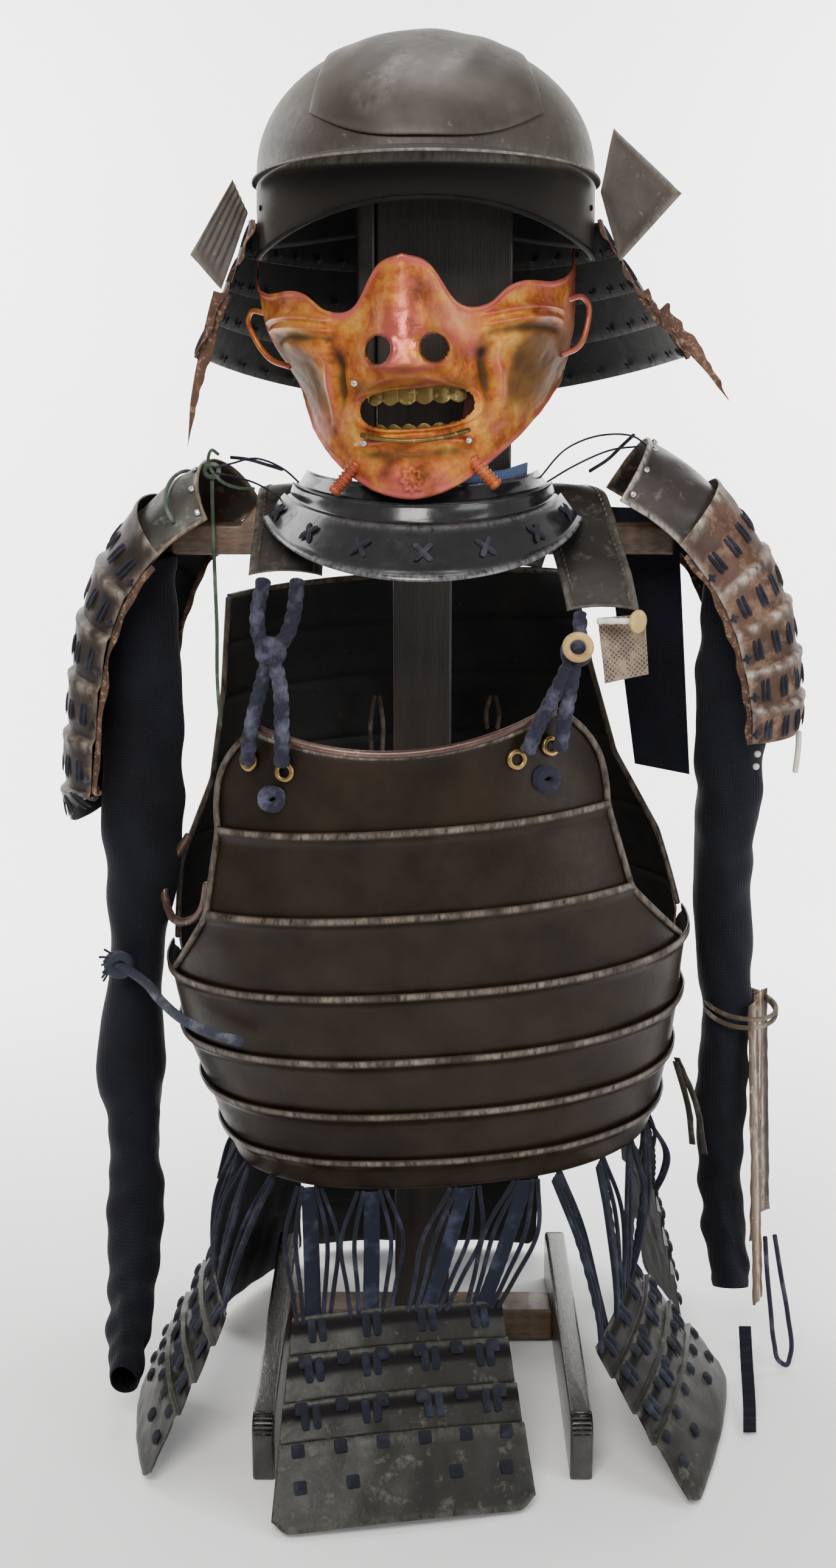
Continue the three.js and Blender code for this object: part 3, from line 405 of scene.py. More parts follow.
# Builds one material's nodes: each call adds a node and sets or links its inputs
class Bench:
    def __init__(self, name):
        self.material = bpy.data.materials.new(name)
        self.material.use_nodes = True
        self.tree = self.material.node_tree
        self.tree.nodes.clear()
        self.output = self.tree.nodes.new("ShaderNodeOutputMaterial")
        self.shader = self.tree.nodes.new("ShaderNodeBsdfPrincipled")
        self.tree.links.new(self.shader.outputs[0], self.output.inputs[0])
        coords = self.tree.nodes.new("ShaderNodeTexCoord")
        self.object, self.uv = coords.outputs["Object"], coords.outputs["UV"]

    def add(self, kind, inputs, out=0, **settings):
        node = self.tree.nodes.new("ShaderNode" + kind)
        for key, value in settings.items():
            setattr(node, key, value)
        for key, value in inputs.items():
            self.put(node.inputs[key], value)
        return node.outputs[out]

    def put(self, socket, value):
        if isinstance(value, bpy.types.NodeSocket):
            self.tree.links.new(value, socket)
        else:
            socket.default_value = (*value, 1) if socket.type == "RGBA" else value

    def scaled(self, scale, where=None, turn=(0, 0, 0)):
        return self.add("Mapping", {"Vector": where or self.object, "Scale": scale, "Rotation": turn})

    def noise(self, scale, detail=4, rough=0.55, where=None):
        return self.add("TexNoise", {"Vector": where or self.object, "Scale": scale,
                                     "Detail": detail, "Roughness": rough})

    def ramp(self, value, stops):
        node = self.tree.nodes.new("ShaderNodeValToRGB")
        self.tree.links.new(value, node.inputs[0])
        points = node.color_ramp.elements
        while len(points) < len(stops):
            points.new(0.5)
        for point, (at, colour) in zip(points, stops):
            point.position = at
            point.color = (*colour, 1)
        return node.outputs[0]

    def level(self, value, low, high):
        return self.add("MapRange", {"Value": value, "From Min": low, "From Max": high})

    def mix(self, share, first, second):
        node = self.tree.nodes.new("ShaderNodeMix")
        node.data_type = "RGBA"
        for socket, value in ((0, share), (6, first), (7, second)):
            self.put(node.inputs[socket], value)
        return node.outputs[2]

    def math(self, kind, first, second=0.0):
        return self.add("Math", {0: first, 1: second}, operation=kind)

    def mark(self, name):
        return self.add("Attribute", {}, out=2, attribute_name=name)

    def bump(self, height, strength, distance, under=None):
        inputs = {"Height": height, "Strength": strength, "Distance": distance}
        if under is not None:
            inputs["Normal"] = under
        return self.add("Bump", inputs)

    def finish(self, **values):
        for key, value in values.items():
            self.put(self.shader.inputs[key.replace("_", " ")], value)
        return self.material


# Metal and lacquer share one build: two tones by large noise, a third in fine specks, worn edges
def coated(name, tones, rough, metal=0.0, specks=(0.6, 0.72), speckScale=160, worn=None, wornRough=0.3,
           bump=0.25, coat=0.0, shade=None, shine=0.3):
    b = Bench(name)
    large = b.noise(22, 5, 0.6)
    fine = b.noise(speckScale, 4, 0.7)
    colour = b.mix(b.level(large, 0.36, 0.64), tones[0], tones[1])
    speck = b.level(fine, *specks)
    colour = b.mix(speck, colour, tones[2])
    roughness = b.math("ADD", b.level(fine, 0.2, 3.2), rough - 0.12)
    if worn:
        scratch = b.noise(240, 3, 0.7, b.scaled((1, 1, 0.35)))
        edge = b.math("MULTIPLY", b.mark("wear"), b.level(scratch, 0.3, 0.62))
        colour = b.mix(edge, colour, worn)
        roughness = b.mix(edge, roughness, (wornRough,) * 3)
    if shade:
        colour = b.mix(b.mark("shade"), colour, shade)
        roughness = b.mix(b.mark("shade"), roughness, (0.95,) * 3)
    under = b.bump(large, bump * 0.6, 0.002)
    normal = b.bump(fine, bump, 0.0006, under)
    return b.finish(Base_Color=colour, Roughness=roughness, Metallic=metal, Normal=normal, Coat_Weight=coat,
                    Specular_IOR_Level=shine)


# Woven cloth: threads cross at a fine pitch, over slow fades of tone
def clothLike(name, tones):
    b = Bench(name)
    fade = b.noise(14, 5, 0.6)
    threads = [b.add("TexWave", {"Vector": b.object, "Scale": 150.0, "Distortion": 0.6, "Detail": 1.0},
                     out=1, bands_direction=way) for way in ("X", "Z")]
    weave = b.math("MULTIPLY", *threads)
    colour = b.mix(b.level(fade, 0.35, 0.65), tones[0], tones[1])
    colour = b.mix(b.math("MULTIPLY", weave, 0.45), colour, tones[2])
    lint = b.level(b.noise(420, 2, 0.8), 0.66, 0.8)
    colour = b.mix(b.math("MULTIPLY", lint, 0.5), colour, tones[3])
    normal = b.bump(weave, 0.5, 0.0005, b.bump(fade, 0.3, 0.004))
    return b.finish(Base_Color=colour, Roughness=0.9, Normal=normal, Sheen_Weight=0.03,
                    Specular_IOR_Level=0.2)


# Braided silk: slanting strands by the piece's own UV, painted darker in their grooves and lighter on their
# crowns as shade and highlight
def braided(name, tones, strands=3.2):
    b = Bench(name)
    slants = [b.add("TexWave", {"Vector": b.scaled((1, 1, 1), b.uv, (0, 0, slant)), "Scale": strands},
                    out=1, bands_direction="X") for slant in (0.8, -0.8)]
    strand = b.math("MULTIPLY", *slants)
    fade = b.noise(60, 4, 0.6)
    # Painted shade in the grooves between strands and a painted highlight on their crowns
    colour = b.mix(strand, tones[0], tones[1])
    colour = b.mix(b.level(fade, 0.5, 0.72), colour, tones[2])
    normal = b.bump(strand, 0.7, 0.0008, b.bump(b.noise(700, 2), 0.25, 0.0004))
    return b.finish(Base_Color=colour, Roughness=0.75, Normal=normal, Sheen_Weight=0.05,
                    Specular_IOR_Level=0.25)


helmetIron = coated("helmetIron", [(0.034, 0.027, 0.021), (0.062, 0.051, 0.041), (0.11, 0.092, 0.074)], 0.54,
                    metal=0.12, specks=(0.6, 0.7), worn=(0.2, 0.18, 0.155), wornRough=0.4, bump=0.3,
                    shade=(0.009, 0.007, 0.0055))
flapIron = coated("flapIron", [(0.06, 0.051, 0.045), (0.11, 0.096, 0.085), (0.17, 0.15, 0.13)], 0.5,
                  metal=0.12, specks=(0.6, 0.7), worn=(0.2, 0.18, 0.155), bump=0.4)
crownIron = coated("crownIron", [(0.03, 0.024, 0.019), (0.054, 0.044, 0.035), (0.14, 0.11, 0.07)], 0.5,
                   metal=0.15, specks=(0.68, 0.76), speckScale=110, worn=(0.13, 0.115, 0.095), wornRough=0.38)
neckBlack = coated("neckBlack", [(0.004, 0.0035, 0.0035), (0.008, 0.007, 0.0065), (0.02, 0.017, 0.015)], 0.65,
                   worn=(0.035, 0.025, 0.02), bump=0.3, shine=0.1)
insideBlack = coated("insideBlack", [(0.008, 0.008, 0.008), (0.016, 0.014, 0.013), (0.03, 0.025, 0.02)], 0.75,
                     bump=0.3)
throatBlack = coated("throatBlack", [(0.006, 0.006, 0.007), (0.012, 0.011, 0.012), (0.06, 0.055, 0.055)],
                     0.24, specks=(0.74, 0.84), worn=(0.3, 0.29, 0.3), wornRough=0.25, bump=0.08, coat=0.2,
                     shine=0.5)
cuirassBrown = coated("cuirassBrown", [(0.0095, 0.0058, 0.0033), (0.0195, 0.0118, 0.0062),
                                       (0.08, 0.06, 0.04)], 0.42, specks=(0.7, 0.82), worn=(0.34, 0.29, 0.24),
                      wornRough=0.34, bump=0.4, shine=0.18)
rimBronze = coated("rimBronze", [(0.07, 0.04, 0.033), (0.16, 0.1, 0.08), (0.34, 0.25, 0.2)], 0.34, metal=0.4,
                   bump=0.25)
strapLeather = coated("strapLeather", [(0.012, 0.01, 0.008), (0.026, 0.021, 0.017), (0.075, 0.065, 0.05)],
                      0.6, specks=(0.55, 0.75), speckScale=90, worn=(0.09, 0.08, 0.065), wornRough=0.6,
                      bump=0.5)
guardPatina = coated("guardPatina", [(0.02, 0.017, 0.014), (0.045, 0.042, 0.034), (0.13, 0.17, 0.12)], 0.5,
                     metal=0.15, specks=(0.57, 0.7), speckScale=60, worn=(0.2, 0.15, 0.1), bump=0.4)
guardMauve = coated("guardMauve", [(0.028, 0.022, 0.02), (0.055, 0.046, 0.042), (0.13, 0.1, 0.08)], 0.42,
                    metal=0.25, specks=(0.58, 0.72), speckScale=70, worn=(0.42, 0.38, 0.33), bump=0.35)
guardBrown = coated("guardBrown", [(0.01, 0.0075, 0.006), (0.032, 0.02, 0.014), (0.11, 0.065, 0.04)], 0.5,
                    specks=(0.58, 0.74), speckScale=80, worn=(0.22, 0.18, 0.14), wornRough=0.6, bump=0.5)
guardRust = coated("guardRust", [(0.024, 0.012, 0.007), (0.085, 0.04, 0.023), (0.18, 0.105, 0.065)], 0.6,
                   specks=(0.5, 0.66), speckScale=60, worn=(0.4, 0.36, 0.31), wornRough=0.6, bump=0.8)
skirtGrey = coated("skirtGrey", [(0.008, 0.0075, 0.006), (0.019, 0.018, 0.0145), (0.07, 0.07, 0.055)], 0.42,
                   specks=(0.57, 0.7), speckScale=80, worn=(0.065, 0.063, 0.052), wornRough=0.42, bump=0.5,
                   shade=(0.006, 0.005, 0.005), shine=0.18)
splintHide = coated("splintHide", [(0.07, 0.042, 0.027), (0.15, 0.095, 0.06), (0.32, 0.23, 0.16)], 0.55,
                    specks=(0.54, 0.7), speckScale=90, worn=(0.5, 0.4, 0.3), bump=0.5)
splintDark = coated("splintDark", [(0.03, 0.022, 0.018), (0.08, 0.055, 0.045), (0.2, 0.14, 0.11)], 0.55,
                    specks=(0.6, 0.75), speckScale=90, worn=(0.4, 0.3, 0.22), bump=0.5)
tornTrim = coated("tornTrim", [(0.035, 0.02, 0.016), (0.1, 0.05, 0.032), (0.26, 0.17, 0.11)], 0.9,
                  specks=(0.52, 0.68), speckScale=260, bump=0.9)
brass = coated("brass", [(0.25, 0.16, 0.06), (0.45, 0.31, 0.13), (0.1, 0.06, 0.03)], 0.34, metal=0.9,
               specks=(0.62, 0.75), bump=0.15)
silver = coated("silver", [(0.5, 0.49, 0.47), (0.72, 0.71, 0.68), (0.28, 0.26, 0.24)], 0.28, metal=0.9,
                specks=(0.62, 0.76), bump=0.15)
toothGold = coated("toothGold", [(0.06, 0.038, 0.01), (0.17, 0.11, 0.03), (0.4, 0.28, 0.09)], 0.42, metal=0.6,
                   specks=(0.55, 0.7), bump=0.4)
throatPink = coated("throatPink", [(0.09, 0.018, 0.016), (0.2, 0.045, 0.035), (0.32, 0.1, 0.06)], 0.5,
                    specks=(0.55, 0.7), bump=0.5)
horn = coated("horn", [(0.3, 0.17, 0.06), (0.55, 0.38, 0.14), (0.7, 0.58, 0.33)], 0.35, speckScale=120,
              bump=0.15)
bone = coated("bone", [(0.6, 0.56, 0.48), (0.78, 0.75, 0.67), (0.4, 0.35, 0.28)], 0.4, specks=(0.64, 0.78),
              bump=0.15)
navyCloth = clothLike("navyCloth", [(0.0025, 0.0027, 0.0045), (0.006, 0.0066, 0.011), (0.013, 0.014, 0.022),
                                    (0.05, 0.05, 0.06)])
blueCloth = clothLike("blueCloth", [(0.03, 0.05, 0.11), (0.06, 0.085, 0.16), (0.1, 0.13, 0.21),
                                    (0.4, 0.4, 0.4)])
navyBraid = braided("navyBraid", [(0.006, 0.006, 0.014), (0.045, 0.046, 0.085), (0.11, 0.105, 0.16)])
greyBraid = braided("greyBraid", [(0.02, 0.023, 0.035), (0.06, 0.068, 0.1), (0.17, 0.18, 0.21)])
navyLace = braided("navyLace", [(0.004, 0.005, 0.012), (0.013, 0.015, 0.034), (0.04, 0.042, 0.075)], 6)
blueLace = braided("blueLace", [(0.004, 0.006, 0.016), (0.013, 0.017, 0.04), (0.045, 0.052, 0.09)], 6)
violetLace = braided("violetLace", [(0.012, 0.012, 0.022), (0.035, 0.033, 0.055), (0.1, 0.095, 0.13)], 6)
greenLace = braided("greenLace", [(0.05, 0.075, 0.05), (0.11, 0.16, 0.1), (0.26, 0.31, 0.22)], 6)
orangeCord = braided("orangeCord", [(0.14, 0.05, 0.016), (0.34, 0.14, 0.05), (0.55, 0.32, 0.16)], 6)
tanCord = braided("tanCord", [(0.06, 0.042, 0.028), (0.16, 0.12, 0.08), (0.32, 0.26, 0.19)], 5)


# Copper of the mask: pink where it stands proud; painted shade darkens it to olive in the hollows and near
# black in the deepest
def maskFinish():
    b = Bench("maskCopper")
    large = b.noise(38, 8, 0.7)
    fine = b.noise(210, 4, 0.7)
    tone = b.ramp(large, [(0.34, (0.11, 0.034, 0.009)), (0.44, (0.3, 0.075, 0.014)),
                          (0.51, (0.44, 0.135, 0.02)), (0.58, (0.5, 0.21, 0.03)), (0.68, (0.6, 0.34, 0.09))])
    pink = b.math("MULTIPLY", b.mark("proud"), b.level(b.noise(55, 4, 0.6), 0.32, 0.54))
    tone = b.mix(pink, tone, (0.4, 0.085, 0.07))
    magenta = b.math("MULTIPLY", b.level(b.noise(17, 3), 0.56, 0.66), 0.5)
    tone = b.mix(magenta, tone, (0.4, 0.09, 0.11))
    # Painted shade: the hollows are darkened to a dark olive
    tone = b.mix(b.math("MULTIPLY", b.mark("hollow"), 0.85), tone, (0.1, 0.055, 0.016))
    tone = b.mix(b.level(fine, 0.6, 0.78), tone, (0.24, 0.09, 0.05))
    # Painted shade: round the nostrils, in deep recesses and in the cheek-fold notch the copper goes near
    # black
    tone = b.mix(b.mark("dark"), tone, (0.028, 0.013, 0.008))
    shine = b.mix(b.math("MULTIPLY", b.mark("gleam"), b.level(fine, 0.3, 0.5)), (0.5,) * 3, (0.17,) * 3)
    shine = b.mix(b.mark("hollow"), shine, (0.72,) * 3)
    normal = b.bump(fine, 0.4, 0.0006, b.bump(large, 0.35, 0.002))
    return b.finish(Base_Color=tone, Roughness=shine, Metallic=0.4, Normal=normal, Coat_Weight=0.04,
                    Specular_IOR_Level=0.15)


maskCopper = maskFinish()


# Wood: long grain lines bent by noise along the board, lighter patches by slow noise, open pores
def woodFinish(name, tones, grain, rough=0.42):
    b = Bench(name)
    where = b.scaled(grain)
    bend = b.noise(3, 4, 0.6, where)
    lines = b.add("TexWave", {"Vector": where, "Scale": 9.0, "Distortion": 6.0, "Detail": 4.0,
                              "Detail Roughness": 0.65}, out=1, bands_direction="X")
    pores = b.noise(80, 3, 0.7, where)
    colour = b.mix(b.math("MULTIPLY", lines, 0.8), tones[0], tones[1])
    colour = b.mix(b.level(bend, 0.4, 0.75), colour, tones[2])
    colour = b.mix(b.level(pores, 0.58, 0.7), colour, tones[3])
    normal = b.bump(pores, 0.3, 0.0006, b.bump(lines, 0.15, 0.0008))
    return b.finish(Base_Color=colour, Roughness=b.math("ADD", b.level(pores, 0.3, 2.6), rough - 0.1),
                    Normal=normal, Coat_Weight=0.15)


footWood = woodFinish("footWood", [(0.008, 0.007, 0.006), (0.018, 0.0155, 0.0135), (0.045, 0.04, 0.036),
                                   (0.004, 0.003, 0.003)], (30, 3, 30), 0.3)
barWood = woodFinish("barWood", [(0.045, 0.024, 0.014), (0.1, 0.056, 0.032), (0.17, 0.105, 0.06),
                                 (0.02, 0.011, 0.006)], (3, 30, 30), 0.45)
plankWood = woodFinish("plankWood", [(0.01, 0.007, 0.005), (0.024, 0.016, 0.011), (0.04, 0.028, 0.02),
                                     (0.005, 0.003, 0.002)], (22, 22, 2.2), 0.55)


# Printed hide of the strap's flap: a plain lattice of dark dots on tan, rubbed off in patches
def printedFinish():
    b = Bench("printedHide")
    cells = b.add("TexVoronoi", {"Vector": b.scaled((1, 1, 1), b.uv, (0, 0, 0.785)), "Scale": 4.2,
                                 "Randomness": 0.0})
    rubbed = b.noise(70, 4, 0.65)
    dots = b.math("MULTIPLY", b.level(cells, 0.34, 0.26), b.level(rubbed, 0.62, 0.48))
    colour = b.mix(b.level(rubbed, 0.35, 0.65), (0.13, 0.085, 0.05), (0.26, 0.19, 0.12))
    colour = b.mix(dots, colour, (0.02, 0.02, 0.035))
    return b.finish(Base_Color=colour, Roughness=0.7, Normal=b.bump(rubbed, 0.5, 0.0008))


printedHide = printedFinish()


print("free cords")


# A free cord as one mesh tube along its route, given as the points it follows
def freeCord(name, node, slot, material, route, diameter, far, **more):
    along = travelled(route)
    steps = int(along[-1] / max(diameter * 0.45, 1.2))
    piece = addPiece(name, tubeMesh(name, route, diameter / 2, steps, 12), material, slot=slot, stands=[node])
    at = np.linspace(0, along[-1], 36)
    table = np.column_stack([along, route])
    line = place(np.stack([smoothLine(table, at, k) for k in (1, 2, 3)], axis=-1))
    return piece


freeCord("green_string", "green_string", "green_cord", greenLace,
         [(-141, -17.5, 645), (-141, -17.5, 610), (-140.5, -18, 575), (-140, -18.5, 540),
          (-140.5, -19, 505), (-139, -19, 474)], 2.6, "bare", stiffness="limp", lay="hanging")
freeCord("waist_cord", "waist_cord", "cord", greyBraid,
         [(-121, -113, 279), (-142, -102, 281), (-163, -84, 284), (-181, -60, 289), (-194, -40, 295),
          (-206, -31, 300), (-216, -28, 304)], 7, "knot", stiffness="medium", lay="loose")
freeCord("sleeve_loop_right", "sleeve_loop_right", "cord", navyBraid,
         [(253, -16, 88), (254, -23, 66), (256, -33, 40), (258, -43, 17), (261, -49, 6), (266, -50, 3.4),
          (270, -44, 8), (269, -33, 34), (265, -21, 60), (261, -11, 87)], 3.6, "object",
         stiffness="limp", lay="hanging")


print("stand")
stand = {
    "spread": 105, "thick": 15, "height": 44, "front": -190, "back": 90, "nose": 12, "gap": 0.3, "worn": 2.5,
    "rail": (4, 28, 15), "post": (20, 13), "barLow": 591, "barEnd": 611, "barTop": 627,
    "barHalf": 171, "barDepth": 13, "saddle": 124, "saddleSlope": 14,
    "head": (-42, 58, -45, 25, 906, 22), "seam": 12, "seamHalf": 0.4,
}


# A closed ring of outline points carried along x, its edges rounded by a bevel
def boardPiece(name, outline, low, high, material, stands, axis="x"):
    outline = np.asarray(outline, float)
    ends = []
    for at in (low, high):
        first = np.full(len(outline), at)
        ends.append(stacked(first, outline[:, 0], outline[:, 1]) if axis == "x"
                    else stacked(outline[:, 0], first, outline[:, 1]))
    points = np.concatenate(ends)
    n = len(outline)
    sides = [(i, (i + 1) % n, n + (i + 1) % n, n + i) for i in range(n)]
    mesh = bpy.data.meshes.new(name)
    mesh.from_pydata(place(points).tolist(), [], sides + [tuple(range(n))[::-1], tuple(range(n, 2 * n))])
    mesh.uv_layers.new(name="UVMap")
    work = bmesh.new()
    work.from_mesh(mesh)
    bmesh.ops.recalc_face_normals(work, faces=work.faces)
    bmesh.ops.bevel(work, geom=work.edges, offset=stand["worn"] / 1000, segments=3, profile=0.6,
                    affect="EDGES")
    work.to_mesh(mesh)
    work.free()
    return addPiece(name, mesh, material, slot="stand_wood", stands=stands)


# Upper corners of a foot are rounded to a quarter circle
turn = np.linspace(0, np.pi / 2, 7)
nose = [(stand["nose"] * (1 - np.sin(t)), stand["height"] - stand["nose"] * (1 - np.cos(t))) for t in turn]
footOutline = ([(stand["front"], 0)] + [(stand["front"] + y, z) for y, z in nose[::-1]]
               + [(stand["back"] - y, z) for y, z in nose] + [(stand["back"], 0)])
for side, label in ((-1, "left"), (1, "right")):
    middle = side * stand["spread"]
    boardPiece(f"stand_foot_{label}", footOutline, middle - stand["thick"] / 2, middle + stand["thick"] / 2,
               footWood, [f"stand_foot_{label}"])

railLow, railHigh, railHalf = stand["rail"]
railEnd = stand["spread"] - stand["thick"] / 2 - stand["gap"]
boardPiece("stand_rail", [(-railHalf, railLow), (railHalf, railLow), (railHalf, railHigh),
                          (-railHalf, railHigh)], -railEnd, railEnd, barWood, ["stand_rail"])
postHalf, postDepth = stand["post"]
postFoot, postHead = railHigh + stand["gap"], stand["barLow"] - stand["gap"]
boardPiece("stand_post", [(-postDepth, postFoot), (postDepth, postFoot), (postDepth, postHead),
                          (-postDepth, postHead)], -postHalf, postHalf, plankWood, ["stand_post"])
saddle, slope = stand["saddle"], stand["saddleSlope"]
barOutline = [(-stand["barHalf"], stand["barLow"]), (stand["barHalf"], stand["barLow"]),
              (stand["barHalf"], stand["barEnd"]), (saddle, stand["barEnd"]),
              (saddle - slope, stand["barTop"]), (slope - saddle, stand["barTop"]),
              (-saddle, stand["barEnd"]), (-stand["barHalf"], stand["barEnd"])]
boardPiece("stand_shoulder_bar", barOutline, -stand["barDepth"], stand["barDepth"], barWood,
           ["stand_shoulder_bar"], axis="y")
headLeft, headRight, headFront, headBack, headTop, headCut = stand["head"]
headLow = stand["barTop"] + stand["gap"]
headOutline = [(headFront, headLow), (headBack, headLow), (headBack, headTop - headCut),
               (headBack - headCut, headTop), (headFront + headCut, headTop),
               (headFront, headTop - headCut)]
seam = headLeft + stand["seam"]
boardPiece("stand_head_block", headOutline, headLeft, seam - stand["seamHalf"], plankWood,
           ["stand_head_block"])
boardPiece("stand_head_plank", headOutline, seam + stand["seamHalf"], headRight, plankWood, [])


print("helmet")
helmet = {
    "x": 2, "y": -8, "halfWidth": 110, "halfDepth": 130, "brim": 838, "rise": 85, "fullness": 2.05,
    "wall": 2.2, "arch": 817, "archDrop": 33, "back": 812, "rimBead": 1.6,
    "plateFront": 70, "plateBack": 42, "plateWall": 0.9, "plateStart": 9, "plateCorner": 17, "plateEnd": 160,
    "visorReach": 27, "visorHalf": 74, "visorFront": 846, "visorTip": 15, "visorWall": 2,
    "flapWall": 2,
}


# A superellipse dome: angle is degrees round from the front, rise is degrees from the brim to the crown
def bowlPoint(angle, rise):
    power = 2 / helmet["fullness"]
    angle, rise = np.radians(angle), np.radians(np.clip(rise, 0, 90))
    spread = np.maximum(np.cos(rise), 0) ** power
    height = np.sin(rise) ** power
    return stacked(helmet["x"] + helmet["halfWidth"] * spread * np.sin(angle),
                   helmet["y"] - helmet["halfDepth"] * spread * np.cos(angle),
                   helmet["brim"] + helmet["rise"] * height)


# The bowl: v from 0 to 1 climbs the straight lower wall, and from 1 to 2 the dome
def bowlSurface(u, v):
    u, v = paired(u, v)
    angle = 360 * u
    turned = np.radians(angle)
    side = np.abs(np.sin(turned))
    edge = np.where(np.cos(turned) > -0.2, helmet["arch"] - helmet["archDrop"] * side**2.2,
                    helmet["back"] - 20 * side)
    points = bowlPoint(angle, 90 * (v - 1))
    points[..., 2] = np.where(v < 1, edge + (helmet["brim"] - edge) * v, points[..., 2])
    return points


# The crown plate: v runs from the brow over the crown; u runs across
def crownSurface(u, v):
    u, v = paired(u, v)
    side = 2 * u - 1
    start = helmet["plateStart"] + helmet["plateCorner"] * np.abs(side) ** 3.4
    turned = np.radians(start + (helmet["plateEnd"] - 6 * side**4 - start) * v)
    half = helmet["plateFront"] + (helmet["plateBack"] - helmet["plateFront"]) * v
    across = side * half / helmet["halfWidth"]
    rest = np.sqrt(1 - across**2)
    rise = np.degrees(np.arcsin(np.clip(np.sin(turned) * rest, -1, 1)))
    return bowlPoint(np.degrees(np.arctan2(across, np.cos(turned) * rest)), rise)


# The visor's crescent: v runs outwards from the brim, and its reach fades towards both ends
def visorSurface(u, v):
    u, v = paired(u, v)
    angle = helmet["visorHalf"] * (2 * u - 1)
    share = np.abs(2 * u - 1)
    reach = 1.6 + helmet["visorReach"] * np.maximum(np.cos(share * np.pi / 2), 0) ** 0.75
    point = bowlPoint(angle, 0)
    out = stacked(np.sin(np.radians(angle)), -np.cos(np.radians(angle)), 0)
    point += out * (0.5 + v * reach)[..., None]
    point[..., 2] = helmet["visorFront"] - helmet["visorTip"] * share**2 - 3 * v - 1.5 * v**3
    return point


u, v = gridOf(144, 70, closed=True)
v = np.concatenate([np.linspace(0, 1, 15), 1 + np.linspace(0, 1, 57)[1:]])[:, None].repeat(144, 1)
relief = 0.35 * ripple(12.6 * np.abs(u - 0.5), v * 2, 3, 3) * ease(v, 0, 0.2) * (1 - ease(v, 1.7, 1.95))
bowl = lifted(bowlSurface(u, v), relief - 0.4, closed=True)
bowl[-1] = bowlSurface(0.0, 2.0) - [0, 0, 0.4]
shade = (1 - ease(v, 0.9, 1.0)) * ease(np.cos(2 * np.pi * u), 0.1, 0.9)
wear = 0.5 * bell(v - 1, 0.05)
bowlMarks = {"wear": wear, "shade": shade}
platePiece("helmet_bowl", bowl, helmetIron, lining=insideBlack, closed=True, marks=bowlMarks, weld=True,
           wall=helmet["wall"], slot="helmet_iron")
edgeLine = bowlSurface(np.linspace(0, 1, 120, endpoint=False), 0.02)
# The rim bead takes the neck guard's black, so that no lit line shows at its edge under the visor: a painted
# shade
addPiece("helmet_rim", hoopMesh("helmet_rim", edgeLine, helmet["rimBead"]), neckBlack, slot="helmet_iron")

u, v = gridOf(70, 120)
border = np.minimum(np.minimum(u, 1 - u) * 110, v * 260)
ornament = ease(border, 6, 14) * (1 - ease(v, 0.42, 0.6))
relief = (0.15 * bell(border - 2.6, 2.2) + 0.55 * ornament * ripple(u * 6, v * 11, 4, 21, 9)
          + 0.2 * ripple(u * 5, v * 8, 3, 5))
crown = lifted(crownSurface(u, v), 1.2 + 0.6 * (1 - np.abs(2 * u - 1) ** 3) + relief)
wear = np.clip(0.2 * bell(border - 2.6, 2) + 0.35 * ornament * ease(relief, 0.1, 0.7), 0, 1)
platePiece("helmet_crown_plate", crown, crownIron, marks={"wear": wear}, wall=helmet["plateWall"], round=0.5,
           slot="helmet_iron")

u, v = gridOf(96, 16)
visor = lifted(visorSurface(u, v), 0.7 * bell(v - 0.94, 0.05) - 0.15 * np.abs(ripple(u * 8, v, 3, 8)))
wear = np.maximum(0.8 * ease(v, 0.9, 0.97), 0.3 * bell(v, 0.06))
platePiece("helmet_visor", visor, helmetIron, lining=insideBlack, marks={"wear": wear},
           wall=helmet["visorWall"], round=0.6, slot="helmet_iron")
rivetShape = knotShape(2.2, 1.2, lobes=2, depth=0.0, sectors=14)
places = frameOn(bowlSurface, np.array([0.2, 0.3, 0.4, 0.5, 0.6, 0.7, 0.8]), np.full(7, 0.55))
stampedPiece("helmet_rivets", rivetShape, places, neckBlack, scale=0.9, slot="helmet_iron")


print("neck guard")
neck = {
    "lames": 4, "wall": 1.7, "start": 74, "top": 808, "side": 86, "behind": 122, "flare": 50,
    "sideFlare": 11, "overlap": 0.05, "lift": 2.4, "laces": 21, "laceWide": 3.2,
}


# The neck guard's flare: u runs round from the right front, v climbs from the lowest edge
def neckSurface(u, v):
    u, v = paired(u, v)
    angle = neck["start"] + (360 - 2 * neck["start"]) * u
    turned = np.radians(angle)
    behind = np.maximum(-np.cos(turned), 0) ** 1.5
    drop = neck["side"] + (neck["behind"] - neck["side"]) * behind
    flare = neck["flare"] + neck["sideFlare"] * np.sin(turned)
    down = 1 - v
    out = 3 + flare * np.maximum(down, 0) ** 1.15
    point = bowlPoint(angle, 0)
    point[..., 0] += out * np.sin(turned)
    point[..., 1] -= out * np.cos(turned)
    point[..., 2] = neck["top"] - drop * down
    return point


